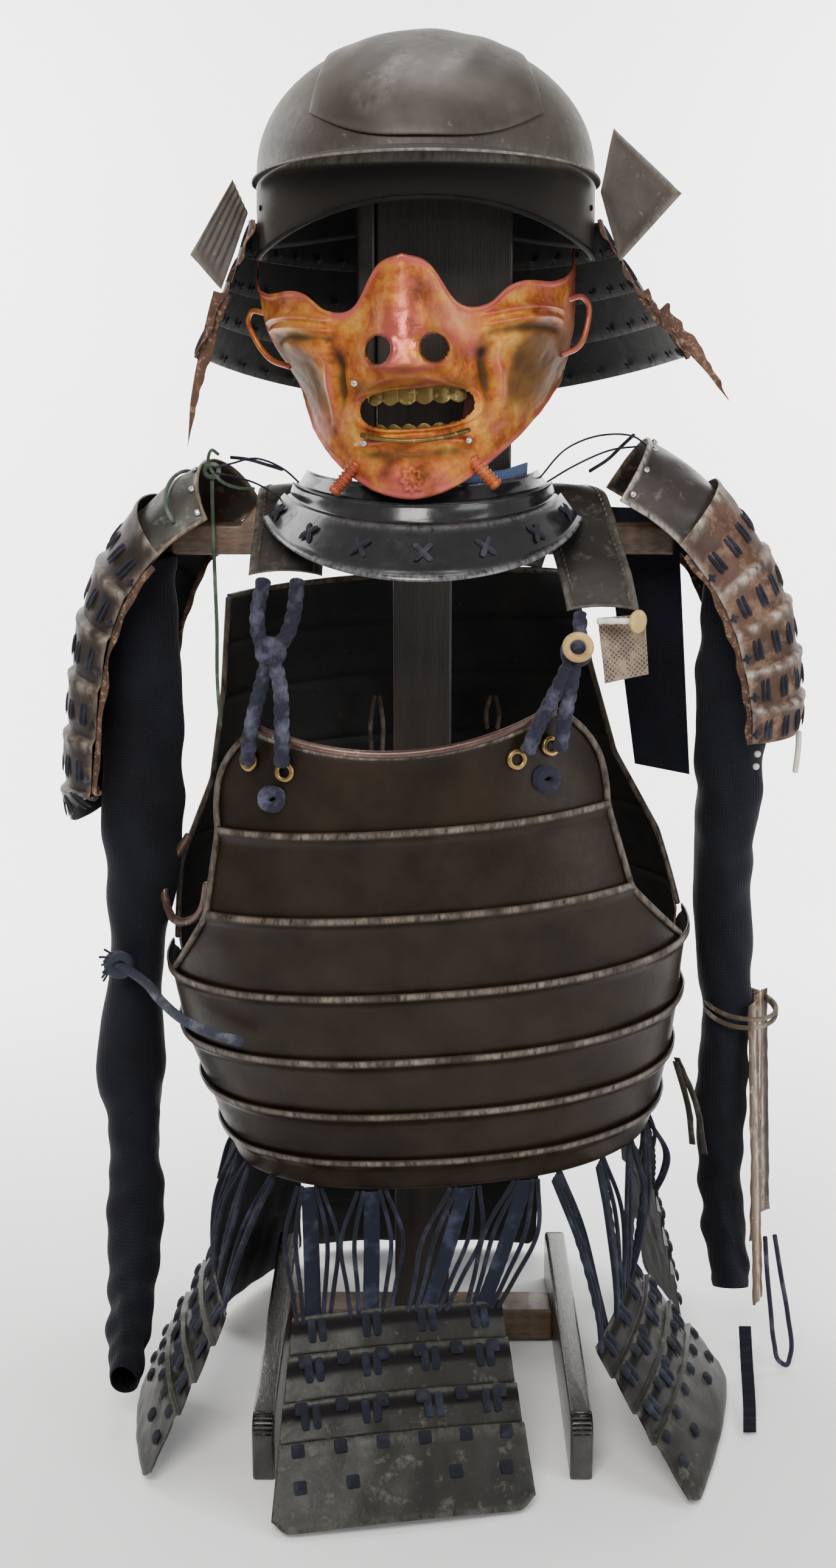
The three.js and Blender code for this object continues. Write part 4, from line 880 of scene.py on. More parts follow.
lacePlaces, innerPlaces, trimMeshes = [], [], []
for i in range(neck["lames"]):
    top = 1 - i / neck["lames"] + (neck["overlap"] if i else 0)
    bottom = 1 - (i + 1) / neck["lames"]
    u, share = gridOf(130, 14)
    v = bottom + (top - bottom) * share
    lift = neck["lift"] * share + 0.8 * bell(share - 0.06, 0.07) + 0.12 * ripple(u * 18, share, 3, 30 + i)
    plate = lifted(neckSurface(u, v), lift)
    wear = np.maximum(bell(share, 0.09), 0.4 * bell(np.minimum(u, 1 - u), 0.01))
    name = f"neck_guard_lame_{i + 1}"
    platePiece(name, plate, neckBlack, marks={"wear": wear}, wall=neck["wall"], round=0.4, slot="dark_iron")
    spots = np.linspace(0.03, 0.97, neck["laces"])
    for offset in (-0.006, 0.006):
        lacePlaces.append(frameOn(neckSurface, spots + offset, np.full(len(spots), bottom + 0.13),
                                  neck["lift"] * 0.6))
    innerPlaces.append(frameOn(neckSurface, spots, np.full(len(spots), bottom + 0.06), -neck["wall"] - 0.9))


laceShape = padShape(neck["laceWide"], 22, 1.5)
stampedPiece("neck_lacing", laceShape, gathered(lacePlaces), navyLace)
where, right, up, out = gathered(innerPlaces)
stampedPiece("neck_lacing_inside", knotShape(3, 1.3), (where, -right, up, -out), violetLace)


# Torn cloth trim: a ribbon along an edge, its outline ragged by ripples and its face in folds
def ribbonMesh(name, line, side, out, width, ragged, seed, rows=8, wave=1.2):
    line, side, out = (np.asarray(part, float) for part in (line, side, out))
    share = np.linspace(0, 1, rows + 1)[:, None]
    s = np.linspace(0, 1, len(line))[None]
    reach = width * (1 + ragged * ripple(s * 16, share * 0, 3, seed, 9) * share)
    lift = wave * ripple(s * 24, share * 3, 2, seed + 1) * (0.3 + share)
    return gridMesh(name, line[None] + side[None] * (share * reach)[..., None] + out[None] * lift[..., None])


for u0, side, label in ((0.0, -1, "right"), (1.0, 1, "left")):
    v = np.linspace(0.0, 1.0, 90)
    where, right, up, out = frameOn(neckSurface, np.full(90, u0), v, 1.5)
    trimMeshes.append(ribbonMesh("trim", where, right * side, out, 5, 0.2, 60 + side))
joinedPiece("neck_guard_trim", trimMeshes, tornTrim, wall=1.2, slot="cord")


# A four-cornered plate, bowed by its curl, with ridges along its length
def cornerSurface(corners, curl):
    a, b, c, d = (np.array(corner, float) for corner in corners)

    def surface(u, v):
        u, v = paired(u, v)
        low, high = a + (b - a) * u[..., None], d + (c - d) * u[..., None]
        point = low + (high - low) * v[..., None]
        point[..., 1] -= curl * u**2
        return point
    return surface


flaps = {
    "right": ([(112, -50, 825), (125, -51, 782), (159, -84, 822), (118, -66, 862)], 3),
    "left": ([(-128, -56, 765), (-110.5, -50, 812), (-119, -63, 832), (-145, -76, 786)], 0),
}
for label, (corners, curl) in flaps.items():
    u, v = gridOf(40, 40)
    surface = cornerSurface(corners, curl)
    ridges = 0.7 * np.sin(v * 17) ** 2 * ease(u, 0.05, 0.3) if label == "left" else 0.8 * bell(u - 0.93, 0.06)
    border = edgeDistance(u, v)
    lift = ridges + 0.5 * bell(border - 0.05, 0.04) + 0.2 * ripple(u * 3, v * 3, 3, 40)
    name = f"turned_flap_{label}"
    platePiece(name, lifted(surface(u, v), lift), flapIron, marks={"wear": bell(border, 0.06)},
               wall=helmet["flapWall"], round=0.6, slot="helmet_iron")


print("mask")
mask = {
    "x": -3, "turn": -3.2, "roll": -2.5, "pivot": 740, "depth": 126, "half": 90, "wall": 2, "chin": 640,
    "jaw": 68, "noseTop": 785, "noseTip": 722, "noseReach": 30, "mouthX": 4, "mouthZ": 694.5,
    "mouthHalf": 35.5, "mouthRise": 12, "mouthSquare": 2.7, "nostrilAngle": 8, "nostrilZ": 731.5,
    "eyeZ": 749, "eyeFrom": 31, "eyeTo": 62, "rosetteZ": 652, "rosetteReach": 10.5, "pegAngle": 30,
    "inset": 15, "insetZ": 702, "insetReach": 34,
}
maskTop = [(0, 786), (8, 780), (17, 757), (28, 755), (36, 764), (62, 767), (76, 772), (90, 788)]
maskWidths = [(636, 64), (665, 76), (690, 87), (715, 97), (740, 102), (790, 104)]


# How far the large forms of the face stand out: nose, cheeks, lip, chin and the folds beside the nose
def maskRelief(angle, z):
    up = np.clip((z - mask["noseTip"]) / (mask["noseTop"] - mask["noseTip"]), 0, 1)
    under = bell(np.minimum(z - mask["noseTip"], 0), 7)
    nose = mask["noseReach"] * bell(angle, 12 - 3 * up) * (1 - 0.62 * up) * under
    cheeks = 8 * bell(np.abs(angle) - 42, 18) * bell(z - 740, 15)
    lip = 7 * bell(z - 713, 7) * bell(angle, 27)
    chin = 10 * bell(angle, 24) * bell(z - 652, 14)
    folds = -4 * bell(np.abs(angle) - 26, 8) * bell(z - 712, 14)
    return nose + cheeks + lip + chin + folds


# Finer forms: nostril wings, bags under the eyes, cheek folds, moustache ridge, rosette and rolled edges
def maskDetail(angle, z):
    side = np.abs(angle)
    wings = 4.5 * bell(side - 14, 3.6) * bell(z - 729, 8)
    bridge = 1.6 * bell(side - 5.5, 2.4) * bell(z - 757, 14)
    eyeFrom, eyeTo = mask["eyeFrom"], mask["eyeTo"]
    along = ease(side, eyeFrom - 7, eyeFrom) * (1 - ease(side, eyeTo, eyeTo + 9))
    bow = mask["eyeZ"] + 3 - 6 * ((side - 46) / 16) ** 2 * 0.4
    bags = along * (3.4 * bell(z - bow, 1.8) + 3.0 * bell(z - bow + 6.2, 1.7) - 2.6 * bell(z - bow + 12, 3.2))
    fold = side - 27 - 0.22 * np.maximum(722 - z, 0)
    cheekFold = 4.2 * bell(fold - 5, 2.4) * bell(z - 712, 17) - 4.0 * bell(fold, 2.4) * bell(z - 712, 18)
    panel = -2.4 * ease(side, 37, 44) * (1 - ease(side, 76, 86)) * bell(z - 716, 20)
    arch = 711.5 - 9 * (side / 20) ** 2
    moustache = 3 * bell(z - arch - 1.5, 2.4) * (1 - ease(side, 20, 26))
    inner = 1.8 * bell(z - arch + 4.5, 1.8) * (1 - ease(side, 13, 19))
    philtrum = -1.8 * bell(angle, 2.4) * bell(z - 719, 5)
    lip = 2.6 * bell(z - 676 + 2.5 * (side / 22) ** 2, 2.2) * (1 - ease(side, 24, 31))
    chinGroove = -2.4 * bell(z - 667, 3.4) * (1 - ease(side, 20, 32))
    reach = np.hypot(angle * 1.75, z - mask["rosetteZ"]) / mask["rosetteReach"]
    petals = 0.75 + 0.25 * np.cos(8 * np.arctan2(z - mask["rosetteZ"], angle * 1.75))
    rosette = np.where(reach < 1.15, 1.8 * bell(reach - 0.62 * petals - 0.15, 0.2) + 1.2 * bell(reach, 0.22)
                       - 0.8 * bell(reach - 0.36, 0.12), 0)
    return (wings + bridge + bags + cheekFold + panel + moustache + inner + philtrum + lip + chinGroove
            + rosette)


# Half width of the mask; its left jaw is drawn in
def maskHalf(angle, z):
    left = np.maximum(-np.sin(np.radians(angle)), 0)
    return smoothLine(maskWidths, z) - mask["inset"] * left * bell(z - mask["insetZ"], mask["insetReach"])


# A point on the mask, in its own frame, and so far out of its surface
def maskPoint(angle, z, off=0.0):
    relief = maskRelief(angle, z) + off
    turned = np.radians(angle)
    return stacked((maskHalf(angle, z) + relief) * np.sin(turned),
                   -(mask["depth"] + relief) * np.cos(turned), z)


# From the mask's own frame to the armour's: turned about the pivot, then moved sideways
def fromMask(points):
    turned, pivot = math.radians(mask["turn"]), np.array([0, 0, mask["pivot"]])
    cos, sin = math.cos(turned), math.sin(turned)
    spin = np.array([[cos, -sin, 0], [sin, cos, 0], [0, 0, 1]])
    return (points - pivot) @ (leaning(math.radians(mask["roll"])) @ spin).T + pivot + [mask["x"], 0, 0]


# The mask's lower and upper edge at so many degrees from its middle
def maskEdge(side):
    top = smoothLine(maskTop, side)
    bottom = mask["chin"] + mask["jaw"] * (1 - np.cos(np.radians(side))) ** 0.9
    return bottom, top


# Below 1 inside the mouth: its rounded-oblong outline, lifted a little to the right as it hangs
def mouthShare(points):
    across = (points[..., 0] - mask["mouthX"]) / mask["mouthHalf"]
    rise = (points[..., 2] - mask["mouthZ"] - 1.2 * across) / mask["mouthRise"]
    power = mask["mouthSquare"]
    return (np.abs(across) ** power + np.abs(rise) ** power) ** (1 / power)


# Below 1 inside either nostril
def nostrilShare(angle, z):
    side = (np.abs(angle - 0.2) - mask["nostrilAngle"] - 0.4) / 4.1
    rise = (z - mask["nostrilZ"] + 1 + 0.5 * side) / 8
    return np.hypot(side, rise)


# The mean of each cell's four corners
def cellMeans(grid):
    return (grid[:-1, :-1] + grid[1:, :-1] + grid[:-1, 1:] + grid[1:, 1:]) / 4


u, v = gridOf(260, 190)
angle = mask["half"] * np.sign(2 * u - 1) * np.abs(2 * u - 1) ** 1.15
low, high = maskEdge(np.abs(angle))
z = low + (high - low) * v
border = np.minimum(np.minimum(v, 1 - v) * (high - low), (mask["half"] - np.abs(angle)) * 1.8)
detail = maskDetail(angle, z)
rolledEdge = 1.6 * bell(border - 1.5, 1.8)
lipRing = mouthShare(maskPoint(angle, z))
hole = nostrilShare(angle, z)
nostrilRim = 2.2 * bell(hole - 1.25, 0.28) * bell(z - mask["nostrilZ"], 14)
pounded = 0.3 * ripple(angle / 7, z / 9, 3, 77, 12) + 0.16 * ripple(angle / 2.5, z / 3.2, 3, 78, 12)
detail = detail * ease(border, 1, 6) * ease(lipRing, 0.9, 1.08) + rolledEdge + 1.6 * bell(lipRing - 1.1, 0.08)
detail = detail * ease(hole, 0.85, 1.2) + nostrilRim + pounded
face = maskPoint(angle, z, detail)
# Points beside a hole are drawn on to its outline, so that the cut edge is smooth
share = mouthShare(face)
near = np.abs(share - 1) < 0.035
middle = np.array([mask["mouthX"], 0, mask["mouthZ"]])
drawn = (face - middle) / share[..., None] + middle
face[near] = np.stack([drawn[..., 0], face[..., 1], drawn[..., 2]], axis=-1)[near]
keep = (cellMeans(share) > 1) & (cellMeans(hole) > 1)
deep = np.clip(-detail / 3, 0, 1)
marks = {
    "proud": np.clip(ease(maskRelief(angle, z), 12, 24) * 0.9 + bell(border - 1.5, 3.4)
                     + ease(detail, 0.8, 2.6) * 0.6 + 0.7 * bell(z - 650, 12) * bell(angle, 26), 0, 1),
    # Where painted shade darkens the copper, and where it turns rougher: cheek hollows, deep recesses and
    # under the upper lip
    "hollow": np.clip(ease(np.abs(angle), 34, 46) * bell(z - 714, 24) + deep
                      + 0.8 * bell(z - 707, 6) * (1 - ease(np.abs(angle), 20, 28)), 0, 1),
    # Where the deepest painted shade goes: round the nostrils, in deep recesses and in the notch of the cheek
    # fold
    "dark": np.clip(bell(hole - 1, 0.25) * 0.8 + 0.65 * ease(-detail, 1.4, 3.4)
                    + 0.8 * bell(np.abs(angle) - 26.7, 3) * bell(z - 727, 4.5), 0, 1),
    "gleam": np.clip(bell(angle, 9) * bell(z - 742, 20) + 0.4 * ease(detail, 1, 2.4), 0, 1),
}
platePiece("mask_face", fromMask(face), maskCopper, lining=insideBlack, wall=mask["wall"], slot="mask_copper",
           marks=marks, keep=keep)

# Teeth: a strip on a curve behind the mouth, each tooth rounded, its free edge scalloped
teeth = {"angle": 21, "turn": 2.5, "count": 6, "scallop": 2.4, "wall": 1.2, "round": 1.3}
for name, low, high, downwards in (("mask_teeth_upper", 699, 710, True),
                                   ("mask_teeth_lower", 674, 683, False)):
    u, v = gridOf(132, 12)
    wave = teeth["scallop"] * np.abs(np.sin(u * teeth["count"] * np.pi))
    z = low - wave + (high - low + wave) * v if downwards else low + (high + wave - low) * v
    angle = teeth["turn"] + teeth["angle"] * (2 * u - 1)
    reach = np.minimum(maskRelief(angle, low), maskRelief(angle, high)) - mask["wall"] - 1.6
    reach = reach + teeth["round"] * np.abs(np.sin(u * teeth["count"] * np.pi)) ** 0.6
    turned = np.radians(angle)
    points = stacked((maskHalf(angle, low) + reach) * np.sin(turned),
                     -(mask["depth"] + reach) * np.cos(turned), z)
    platePiece(name, fromMask(points), toothGold, wall=teeth["wall"], round=0.3, slot="gilt")

# Gilt rod under the lower lip, with a silver rivet at each end, and one rivet beside the mouth
angles = np.linspace(-21.5, 24, 20)
rodLine = fromMask(maskPoint(angles, 675.5 + 4.4 * ((angles - 1) / 23) ** 2, 4.4))
addPiece("mask_lip_rod", tubeMesh("mask_lip_rod", rodLine, 1.5, 60, 10), toothGold, slot="gilt")
rivetShape = knotShape(2.4, 1.7, lobes=2, depth=0.0, sectors=14)
spots = ((-21, 674.5, 4), (24.5, 673.5, 4), (-19.5, 711, 5.6))
where = fromMask(np.array([maskPoint(*spot) for spot in spots]))
outs = unit(where - fromMask(np.array([maskPoint(a, z, -8) for a, z, off in spots])))
right = unit(np.cross([0, 0, 1], outs) * -1)
stampedPiece("mask_rivets", rivetShape, (where, right, np.cross(outs, right), outs), silver, slot="gilt")

# Short throat piece that shows behind the jaw at the right
u, v = gridOf(40, 40)
angle, z = 36 + 44 * u, 634 + 66 * v
turned = np.radians(angle)
inner = stacked(maskHalf(angle, z) * 0.62 * np.sin(turned), -(mask["depth"] - 42) * np.cos(turned), z)
points = fromMask(lifted(inner, 0.6 * ripple(u * 3, v * 4, 3, 84)))
addPiece("mask_throat", gridMesh("mask_throat", points), throatPink, wall=1.2, round=0.4, slot="mask_copper")

# Ridged pegs under the chin, and wire hooks beside the cheeks
pegMeshes, hookMeshes = [], []
for side in (-1, 1):
    root = maskPoint(side * mask["pegAngle"], 660, -1.0)
    line = np.array([root, root + [side * 13, -5, -14]])
    steps = 44
    rings = 1 + 0.16 * np.cos(np.linspace(0, 14 * np.pi, steps + 1))[:, None] + np.zeros((1, 14))
    pegMeshes.append(tubeMesh("peg", fromMask(line), 4, steps, 14, swell=rings))
    path = [(76, 755, -1), (81, 756, 7), (84, 750, 11), (84, 739, 11), (81, 725, 8), (76, 720, -1)]
    points = np.array([maskPoint(side * a, z, off) for a, z, off in path])
    hookMeshes.append(tubeMesh("hook", fromMask(points), 1.9, 60, 10))
for name, meshes in (("mask_pegs", pegMeshes), ("mask_hooks", hookMeshes)):
    piece = joinedPiece(name, meshes, maskCopper, slot="mask_copper")
    markEvenly(piece.data, proud=0.5, hollow=0, dark=0, gleam=0.5)


print("throat guard")
throat = {
    "half": 74, "wall": 1.8, "knots": 7, "lip": 1.5, "liningWall": 1.2,
    "lames": [((79, 112, 647, 4), (86, 122, 634.5, 8)), ((88.5, 125, 636, 9), (92, 131, 622.5, 14)),
              ((94.5, 134, 624, 15), (109, 157, 592, 36))],
}


# A lame between two edges; each edge is its half width, depth, height and rise towards the ends
def throatSurface(top, bottom):
    def surface(u, v):
        u, v = paired(u, v)
        turned = np.radians(throat["half"] * (2 * u - 1))
        forward = 1 - np.cos(turned)
        mixed = [bottom[k] + (top[k] - bottom[k]) * v for k in range(4)]
        return stacked(mixed[0] * np.sin(turned), -mixed[1] * np.cos(turned), mixed[2] + mixed[3] * forward)
    return surface


knots = []
for i, (top, bottom) in enumerate(throat["lames"]):
    surface = throatSurface(top, bottom)
    u, v = gridOf(150, 18)
    dents = 0.16 * ripple(u * 15, v * 4, 3, 90 + i, 10)
    bead = throat["lip"] * bell(v - 0.06, 0.08) + (0.7 * bell(v - 0.95, 0.06) if i < 2 else 0)
    points = lifted(surface(u, v), bead + dents * ease(v, 0.1, 0.3) + (0.6 if i == 2 else 0))
    wear = np.maximum(bell(v - 0.05, 0.07), 0.5 * bell(v - 0.95, 0.05))
    name = f"throat_lame_{i + 1}"
    platePiece(name, points, throatBlack, lining=insideBlack, marks={"wear": wear * (0.15 + 0.35 * (i == 2))},
               wall=throat["wall"], round=0.4, slot="black_lacquer")
    if i == 2:
        spots = np.linspace(0.05, 0.95, throat["knots"])
        knots.append(frameOn(surface, spots, np.full(throat["knots"], 0.52), 1.2))
where, right, up, out = gathered(knots)
stroke = padShape(4, 16, 2)
crosses = [stampMesh("cross", stroke, (where + out * raised, right, up, out), spin=np.full(len(where), lean))
           for raised, lean in ((0, 0.75), (0.5, -0.75))]
joinedPiece("throat_knots", crosses, violetLace, slot="cord")

# Blue cloth lining that shows above the first lame
lining = throatSurface((77.5, 110, 653, 5), (76, 108, 622, 5))
u, v = gridOf(90, 12)
u = 0.52 + 0.4 * u
points = lining(u, v) + stacked(0, 0, 0.5 * ripple(u * 18, v, 3, 95) * v)
cloth = addPiece("throat_lining", gridMesh("throat_lining", points), blueCloth, wall=throat["liningWall"],
                 slot="sleeve_cloth")


print("cuirass")
cuirass = {
    "x": 11, "z": 175, "roll": -4, "square": 2.3, "wall": 2, "ridge": 3.4, "overlap": 4, "half": 96,
    "neckRise": 19, "bottom": -2, "top": 388, "gap": 0.3, "rim": 2.6, "armRim": 2.2,
    "eyelet": 5.2, "eyeletThick": 1.9,
}
cuirassSections = [
    (-2, 150, 112, 3), (20, 158, 117, 4), (57, 168, 125, 4), (97, 178, 130, 2), (143, 183, 132, 3),
    (196, 182, 132, 0), (252, 162, 129, 0), (330, 146, 122, 0), (388, 134, 112, 0),
]
frontLames = [
    (252, 303, 128, 96), (196, 252, 141, 128), (143, 196, 177, 141), (97, 143, 0, 0), (57, 97, 0, 0),
    (20, 57, 0, 0), (-2, 20, 0, 0),
]
backEdges = [(-2, 97), (57, 97), (143, 97), (196, 108), (252, 116), (318, 118), (388, 116)]


# A point of the cuirass's plan, by degrees round from the front
def cuirassPoint(angle, z):
    power = 2 / cuirass["square"]
    s, c = np.sin(np.radians(angle)), np.cos(np.radians(angle))
    width, depth, shift = (straightLine(cuirassSections, z, k) for k in (1, 2, 3))
    return stacked(shift + width * np.sign(s) * np.abs(s) ** power,
                   -depth * np.sign(c) * np.abs(c) ** power, z)


# The same plan, by how far sideways the point lies on the front
def cuirassFront(x, z):
    width, depth, shift = (straightLine(cuirassSections, z, k) for k in (1, 2, 3))
    share = np.minimum(np.abs(x) / width, 0.999)
    return stacked(x + shift, -depth * (1 - share ** cuirass["square"]) ** (1 / cuirass["square"]), z)


# From the cuirass's upright frame to the armour's, as it leans on the stand
def fromCuirass(points):
    return points @ leaning(math.radians(cuirass["roll"])).T + [cuirass["x"], 0, cuirass["z"]]


# A front lame between its low and high edges; the last two numbers narrow it beside the armholes
def frontSurface(lame, isTop):
    low, high, halfLow, halfHigh = lame

    def surface(u, v):
        u, v = paired(u, v)
        side = 2 * u - 1
        if not halfHigh:
            return fromCuirass(cuirassPoint(cuirass["half"] * side, low + (high - low) * v))
        shoulder = 1 - np.maximum(v, 0) ** 3 if isTop else 1 - v
        half = halfHigh + (halfLow - halfHigh) * shoulder
        rise = cuirass["neckRise"] * side**2 if isTop else 0
        return fromCuirass(cuirassFront(side * half, low + (high + rise - low) * v))
    return surface


# Each lame's top edge turns out to a ridge that laps the lame above; both edges hold a few nicks
for i, lame in enumerate(frontLames):
    height = lame[1] - lame[0]
    surface = frontSurface(lame, i == 0)
    if i == 0:
        stops = [(cuirass["gap"] / height, 0), (0.3, 0), (0.6, 0), (0.82, 0), (0.94, 0.8), (1, 2.5)]
    else:
        turn = 6 / height
        stops = [(cuirass["gap"] / height, 0), (1 - 2 * turn, 0.1), (1 - turn, 0.5), (1 - turn / 2, 2.0),
                 (1 - turn / 5, cuirass["ridge"]), (1 + cuirass["overlap"] / height, cuirass["ridge"])]
    rows = []
    for (v0, lift0), (v1, lift1) in zip(stops[:-1], stops[1:]):
        count = max(int((v1 - v0) * height / 1.6), 2)
        rows += [(v0 + (v1 - v0) * k / count, lift0 + (lift1 - lift0) * k / count) for k in range(count)]
    rows = np.array(rows + [stops[-1]])
    u, v = np.meshgrid(np.linspace(0, 1, 171), rows[:, 0])
    lift = rows[:, 1][:, None] + 0.3 * ripple(u * 17, v * height / 17, 3, 110 + i, 10)
    lift = lift - 0.5 * bell(v - 0.02, 0.03)
    points = lifted(surface(u, v), lift)
    below = ((rows[-1, 0] - rows[:, 0]) * height)[:, None]
    worn = bell(below - (1.0 if i == 0 else 2.6), 0.95) * (0.8 + 0.35 * ripple(u * 30, v * 3, 4, 130 + i, 8))
    worn = np.clip(worn + 0.12 * bell(v - 0.01, 0.03), 0, 1)
    name = f"front_lame_{i + 1}"
    platePiece(name, points, cuirassBrown, lining=insideBlack, marks={"wear": worn}, wall=cuirass["wall"],
               round=0.35, slot="brown_lacquer")


def backSurface(u, v):
    u, v = paired(u, v)
    z = cuirass["bottom"] + (cuirass["top"] - cuirass["bottom"]) * v
    edge = straightLine(backEdges, z)
    return fromCuirass(cuirassPoint(edge + (360 - 2 * edge) * u, z))


u, v = gridOf(200, 150)
lameStops = np.array([0, 57, 108, 160, 212, 264, 312, 352, 390.5]) - 1
z = (cuirass["top"] - cuirass["bottom"]) * v
below = lameStops[np.clip(np.searchsorted(lameStops, z) - 1, 0, None)]
step = 2.8 * bell(z - below - 2, 2.6)
border = np.minimum(u, 1 - u)
lift = step + 0.25 * ripple(u * 17, v * 20, 3, 150, 10) + 1.2 * bell(v - 1, 0.008)
points = lifted(backSurface(u, v), lift)
wear = np.clip(bell(z - below - 2.5, 2) * 0.8 + 0.6 * bell(border, 0.006), 0, 1)
platePiece("back_shell", points, cuirassBrown, lining=insideBlack, marks={"wear": wear}, wall=cuirass["wall"],
           round=0.4, slot="brown_lacquer")

# Rolled rims: along the neck edge, down each armhole, and along the back shell's two front edges and top
topSurface = frontSurface(frontLames[0], True)
neckLine = frameOn(topSurface, np.linspace(0.0, 1, 80), np.full(80, 1.0), 2.0)[0] + [0, 0, 1.2]
addPiece("cuirass_neck_rim", tubeMesh("cuirass_neck_rim", neckLine, cuirass["rim"], 160, 12), rimBronze,
         slot="brown_lacquer")
armMeshes = []
for edge in (0.0, 1.0):
    line = []
    for i in (2, 1, 0):
        surface = frontSurface(frontLames[i], i == 0)
        share = np.linspace(0.12 if i == 2 else 0.04, 0.9 if i else 0.97, 10)
        line.append(frameOn(surface, np.full(10, edge), share, 1.6)[0])
    armMeshes.append(tubeMesh("rim", np.concatenate(line), cuirass["armRim"], 120, 10))
    line = frameOn(backSurface, np.full(30, edge), np.linspace(0.38, 0.995, 30), 0.8)[0]
    armMeshes.append(tubeMesh("rim", line, cuirass["armRim"], 120, 10))
backTop = frameOn(backSurface, np.linspace(0.01, 0.99, 60), np.full(60, 0.997), 0.5)[0]
armMeshes.append(tubeMesh("rim", backTop, cuirass["armRim"], 160, 10))
armRims = joinedPiece("cuirass_arm_rims", armMeshes, cuirassBrown, slot="brown_lacquer")
markEvenly(armRims.data, wear=0.3)

# Brass eyelets and navy knots near the neck, and laces on the back
turn = fullTurn(24)[:, None]
eyeletMeshes = []
for spot in ((0.055, 0.74), (0.16, 0.72), (0.8, 0.72), (0.9, 0.74)):
    where, right, up, out = frameOn(topSurface, *spot, 0.4)
    loop = where + (right * np.cos(turn) + up * np.sin(turn)) * cuirass["eyelet"] + out * 1.2
    eyeletMeshes.append(hoopMesh("eyelet", loop, cuirass["eyeletThick"], 8))
joinedPiece("cuirass_eyelets", eyeletMeshes, brass, slot="gilt")
spots = frameOn(topSurface, [0.15, 0.85], [0.42, 0.44], 3.0)[0]
joinedPiece("cuirass_knots", [mesh for spot in spots for mesh in knotMeshes(spot, 6, 3.6)], navyBraid,
            slot="cord")
spots = np.linspace(0.04, 0.96, 24)
laces = [frameOn(backSurface, spots + shift, np.full(24, (stop + 26) / 390), 1.0)
         for stop in lameStops[1:-2] for shift in (-0.004, 0.004)]
stampedPiece("back_lacing", padShape(4, 30, 1.6), gathered(laces), navyLace)


print("straps and cords")
strap = {"width": 46, "long": 270, "height": 586, "crown": 3, "wall": 4, "bead": 0.9}
strapPath = [(-86, 0), (-74, 10), (-46, 22), (-18, 42), (12, 44), (58, 36), (96, 10), (119, -24)]


# A strap over the shoulder: v runs from the front end to the back one
def strapSurface(frontX, backX, frontZ):
    def surface(u, v):
        u, v = paired(u, v)
        x = frontX + (backX - frontX) * np.maximum(v, 0) ** 1.3 + (2 * u - 1) * strap["width"] / 2
        lowered = (frontZ - strap["height"]) * np.maximum(1 - 3 * v, 0)
        return stacked(x, alongRows(strapPath, v, 0), strap["height"] + alongRows(strapPath, v, 1) + lowered
                       + strap["crown"] * (1 - (2 * u - 1) ** 2))
    return surface


stitchPlaces = []
for label, ends in (("left", (-88, -84, 584)), ("right", (116, 66, 562))):
    surface = strapSurface(*ends)
    u, v = gridOf(26, 150)
    border = edgeDistance(u, v, strap["width"], strap["long"])
    lift = strap["wall"] + strap["bead"] * bell(border - 2.5, 1.8) + 0.25 * ripple(u * 5, v * 22, 3, 160)
    name = f"shoulder_strap_{label}"
    platePiece(name, lifted(surface(u, v), lift), strapLeather, marks={"wear": bell(border - 1, 3)},
               wall=strap["wall"], round=0.9, slot="strap_leather")
    share = np.linspace(0.03, 0.97, 52)
    for across in (0.12, 0.88):
        stitchPlaces.append(frameOn(surface, np.full(52, across), share, strap["wall"] + 0.5))
stampedPiece("strap_stitches", padShape(1.3, 3.4, 0.7, 4), gathered(stitchPlaces), tanCord)

surface = cornerSurface([(117, -101, 519), (146, -92, 524), (143, -90, 563), (112, -95, 561)], 2)
u, v = gridOf(30, 36)
border = edgeDistance(u, v, 30, 42)
flapPoints = lifted(surface(u, v), 0.9 * bell(border - 1.2, 1.2) + 0.3 * ripple(u * 3, v * 3, 3, 170))
platePiece("strap_flap_right", flapPoints, printedHide, wall=2.2, round=0.7, slot="strap_leather")


# A round braid: eight strands show as bumps that wind both ways round the cord
def braidMesh(name, path, diameter):
    length = travelled(path)[-1]
    steps = int(length / 0.7)
    turn = fullTurn(24)[None]
    along = np.linspace(0, length, steps + 1)[:, None] / diameter
    slant = np.abs(2 * np.mod(turn / np.pi, 1) - 1)
    strands = np.abs(np.sin(np.pi * (along / 0.8 + slant))) ** 0.7
    columns = np.abs(np.sin(2 * turn)) ** 0.5
    return tubeMesh(name, path, diameter / 2, steps, 24, swell=0.6 + 0.28 * strands + 0.16 * columns)


cordSize = 10
leftRuns = [
    [(-102, -92, 584), (-106, -96, 560), (-104, -101, 548), (-97, -104, 540)],
    [(-80, -94, 584), (-83, -98, 562), (-88, -102, 549), (-97, -106, 540)],
    [(-97, -104, 542), (-103, -109, 520), (-110, -111, 492), (-113, -112, 470)],
    [(-97, -106, 542), (-91, -113, 520), (-90, -118, 492), (-90, -122, 471)],
]
rightRuns = [
    [(101, -91, 562), (101, -96, 552), (100, -100, 544), (98, -103, 538)],
    [(98, -102, 541), (88, -112, 522), (76, -118, 500), (67, -122, 480)],
    [(98, -103, 541), (95, -111, 522), (91, -114, 500), (88, -116, 480)],
]
for label, runs, knot in (("left", leftRuns, (-97, -106, 541)), ("right", rightRuns, (98, -103, 540))):
    meshes = [braidMesh("run", run, cordSize) for run in runs] + knotMeshes(knot, 6.5, 4)
    name = f"shoulder_cord_{label}"
    joinedPiece(name, meshes, navyBraid, slot="cord", stands=[name])
cordRing = {"middle": [98, -119, 546], "half": 7.6, "rise": 7.5, "turn": 15, "lean": 1.3, "thick": 2.6}
turn, turned = fullTurn(48), math.radians(cordRing["turn"])
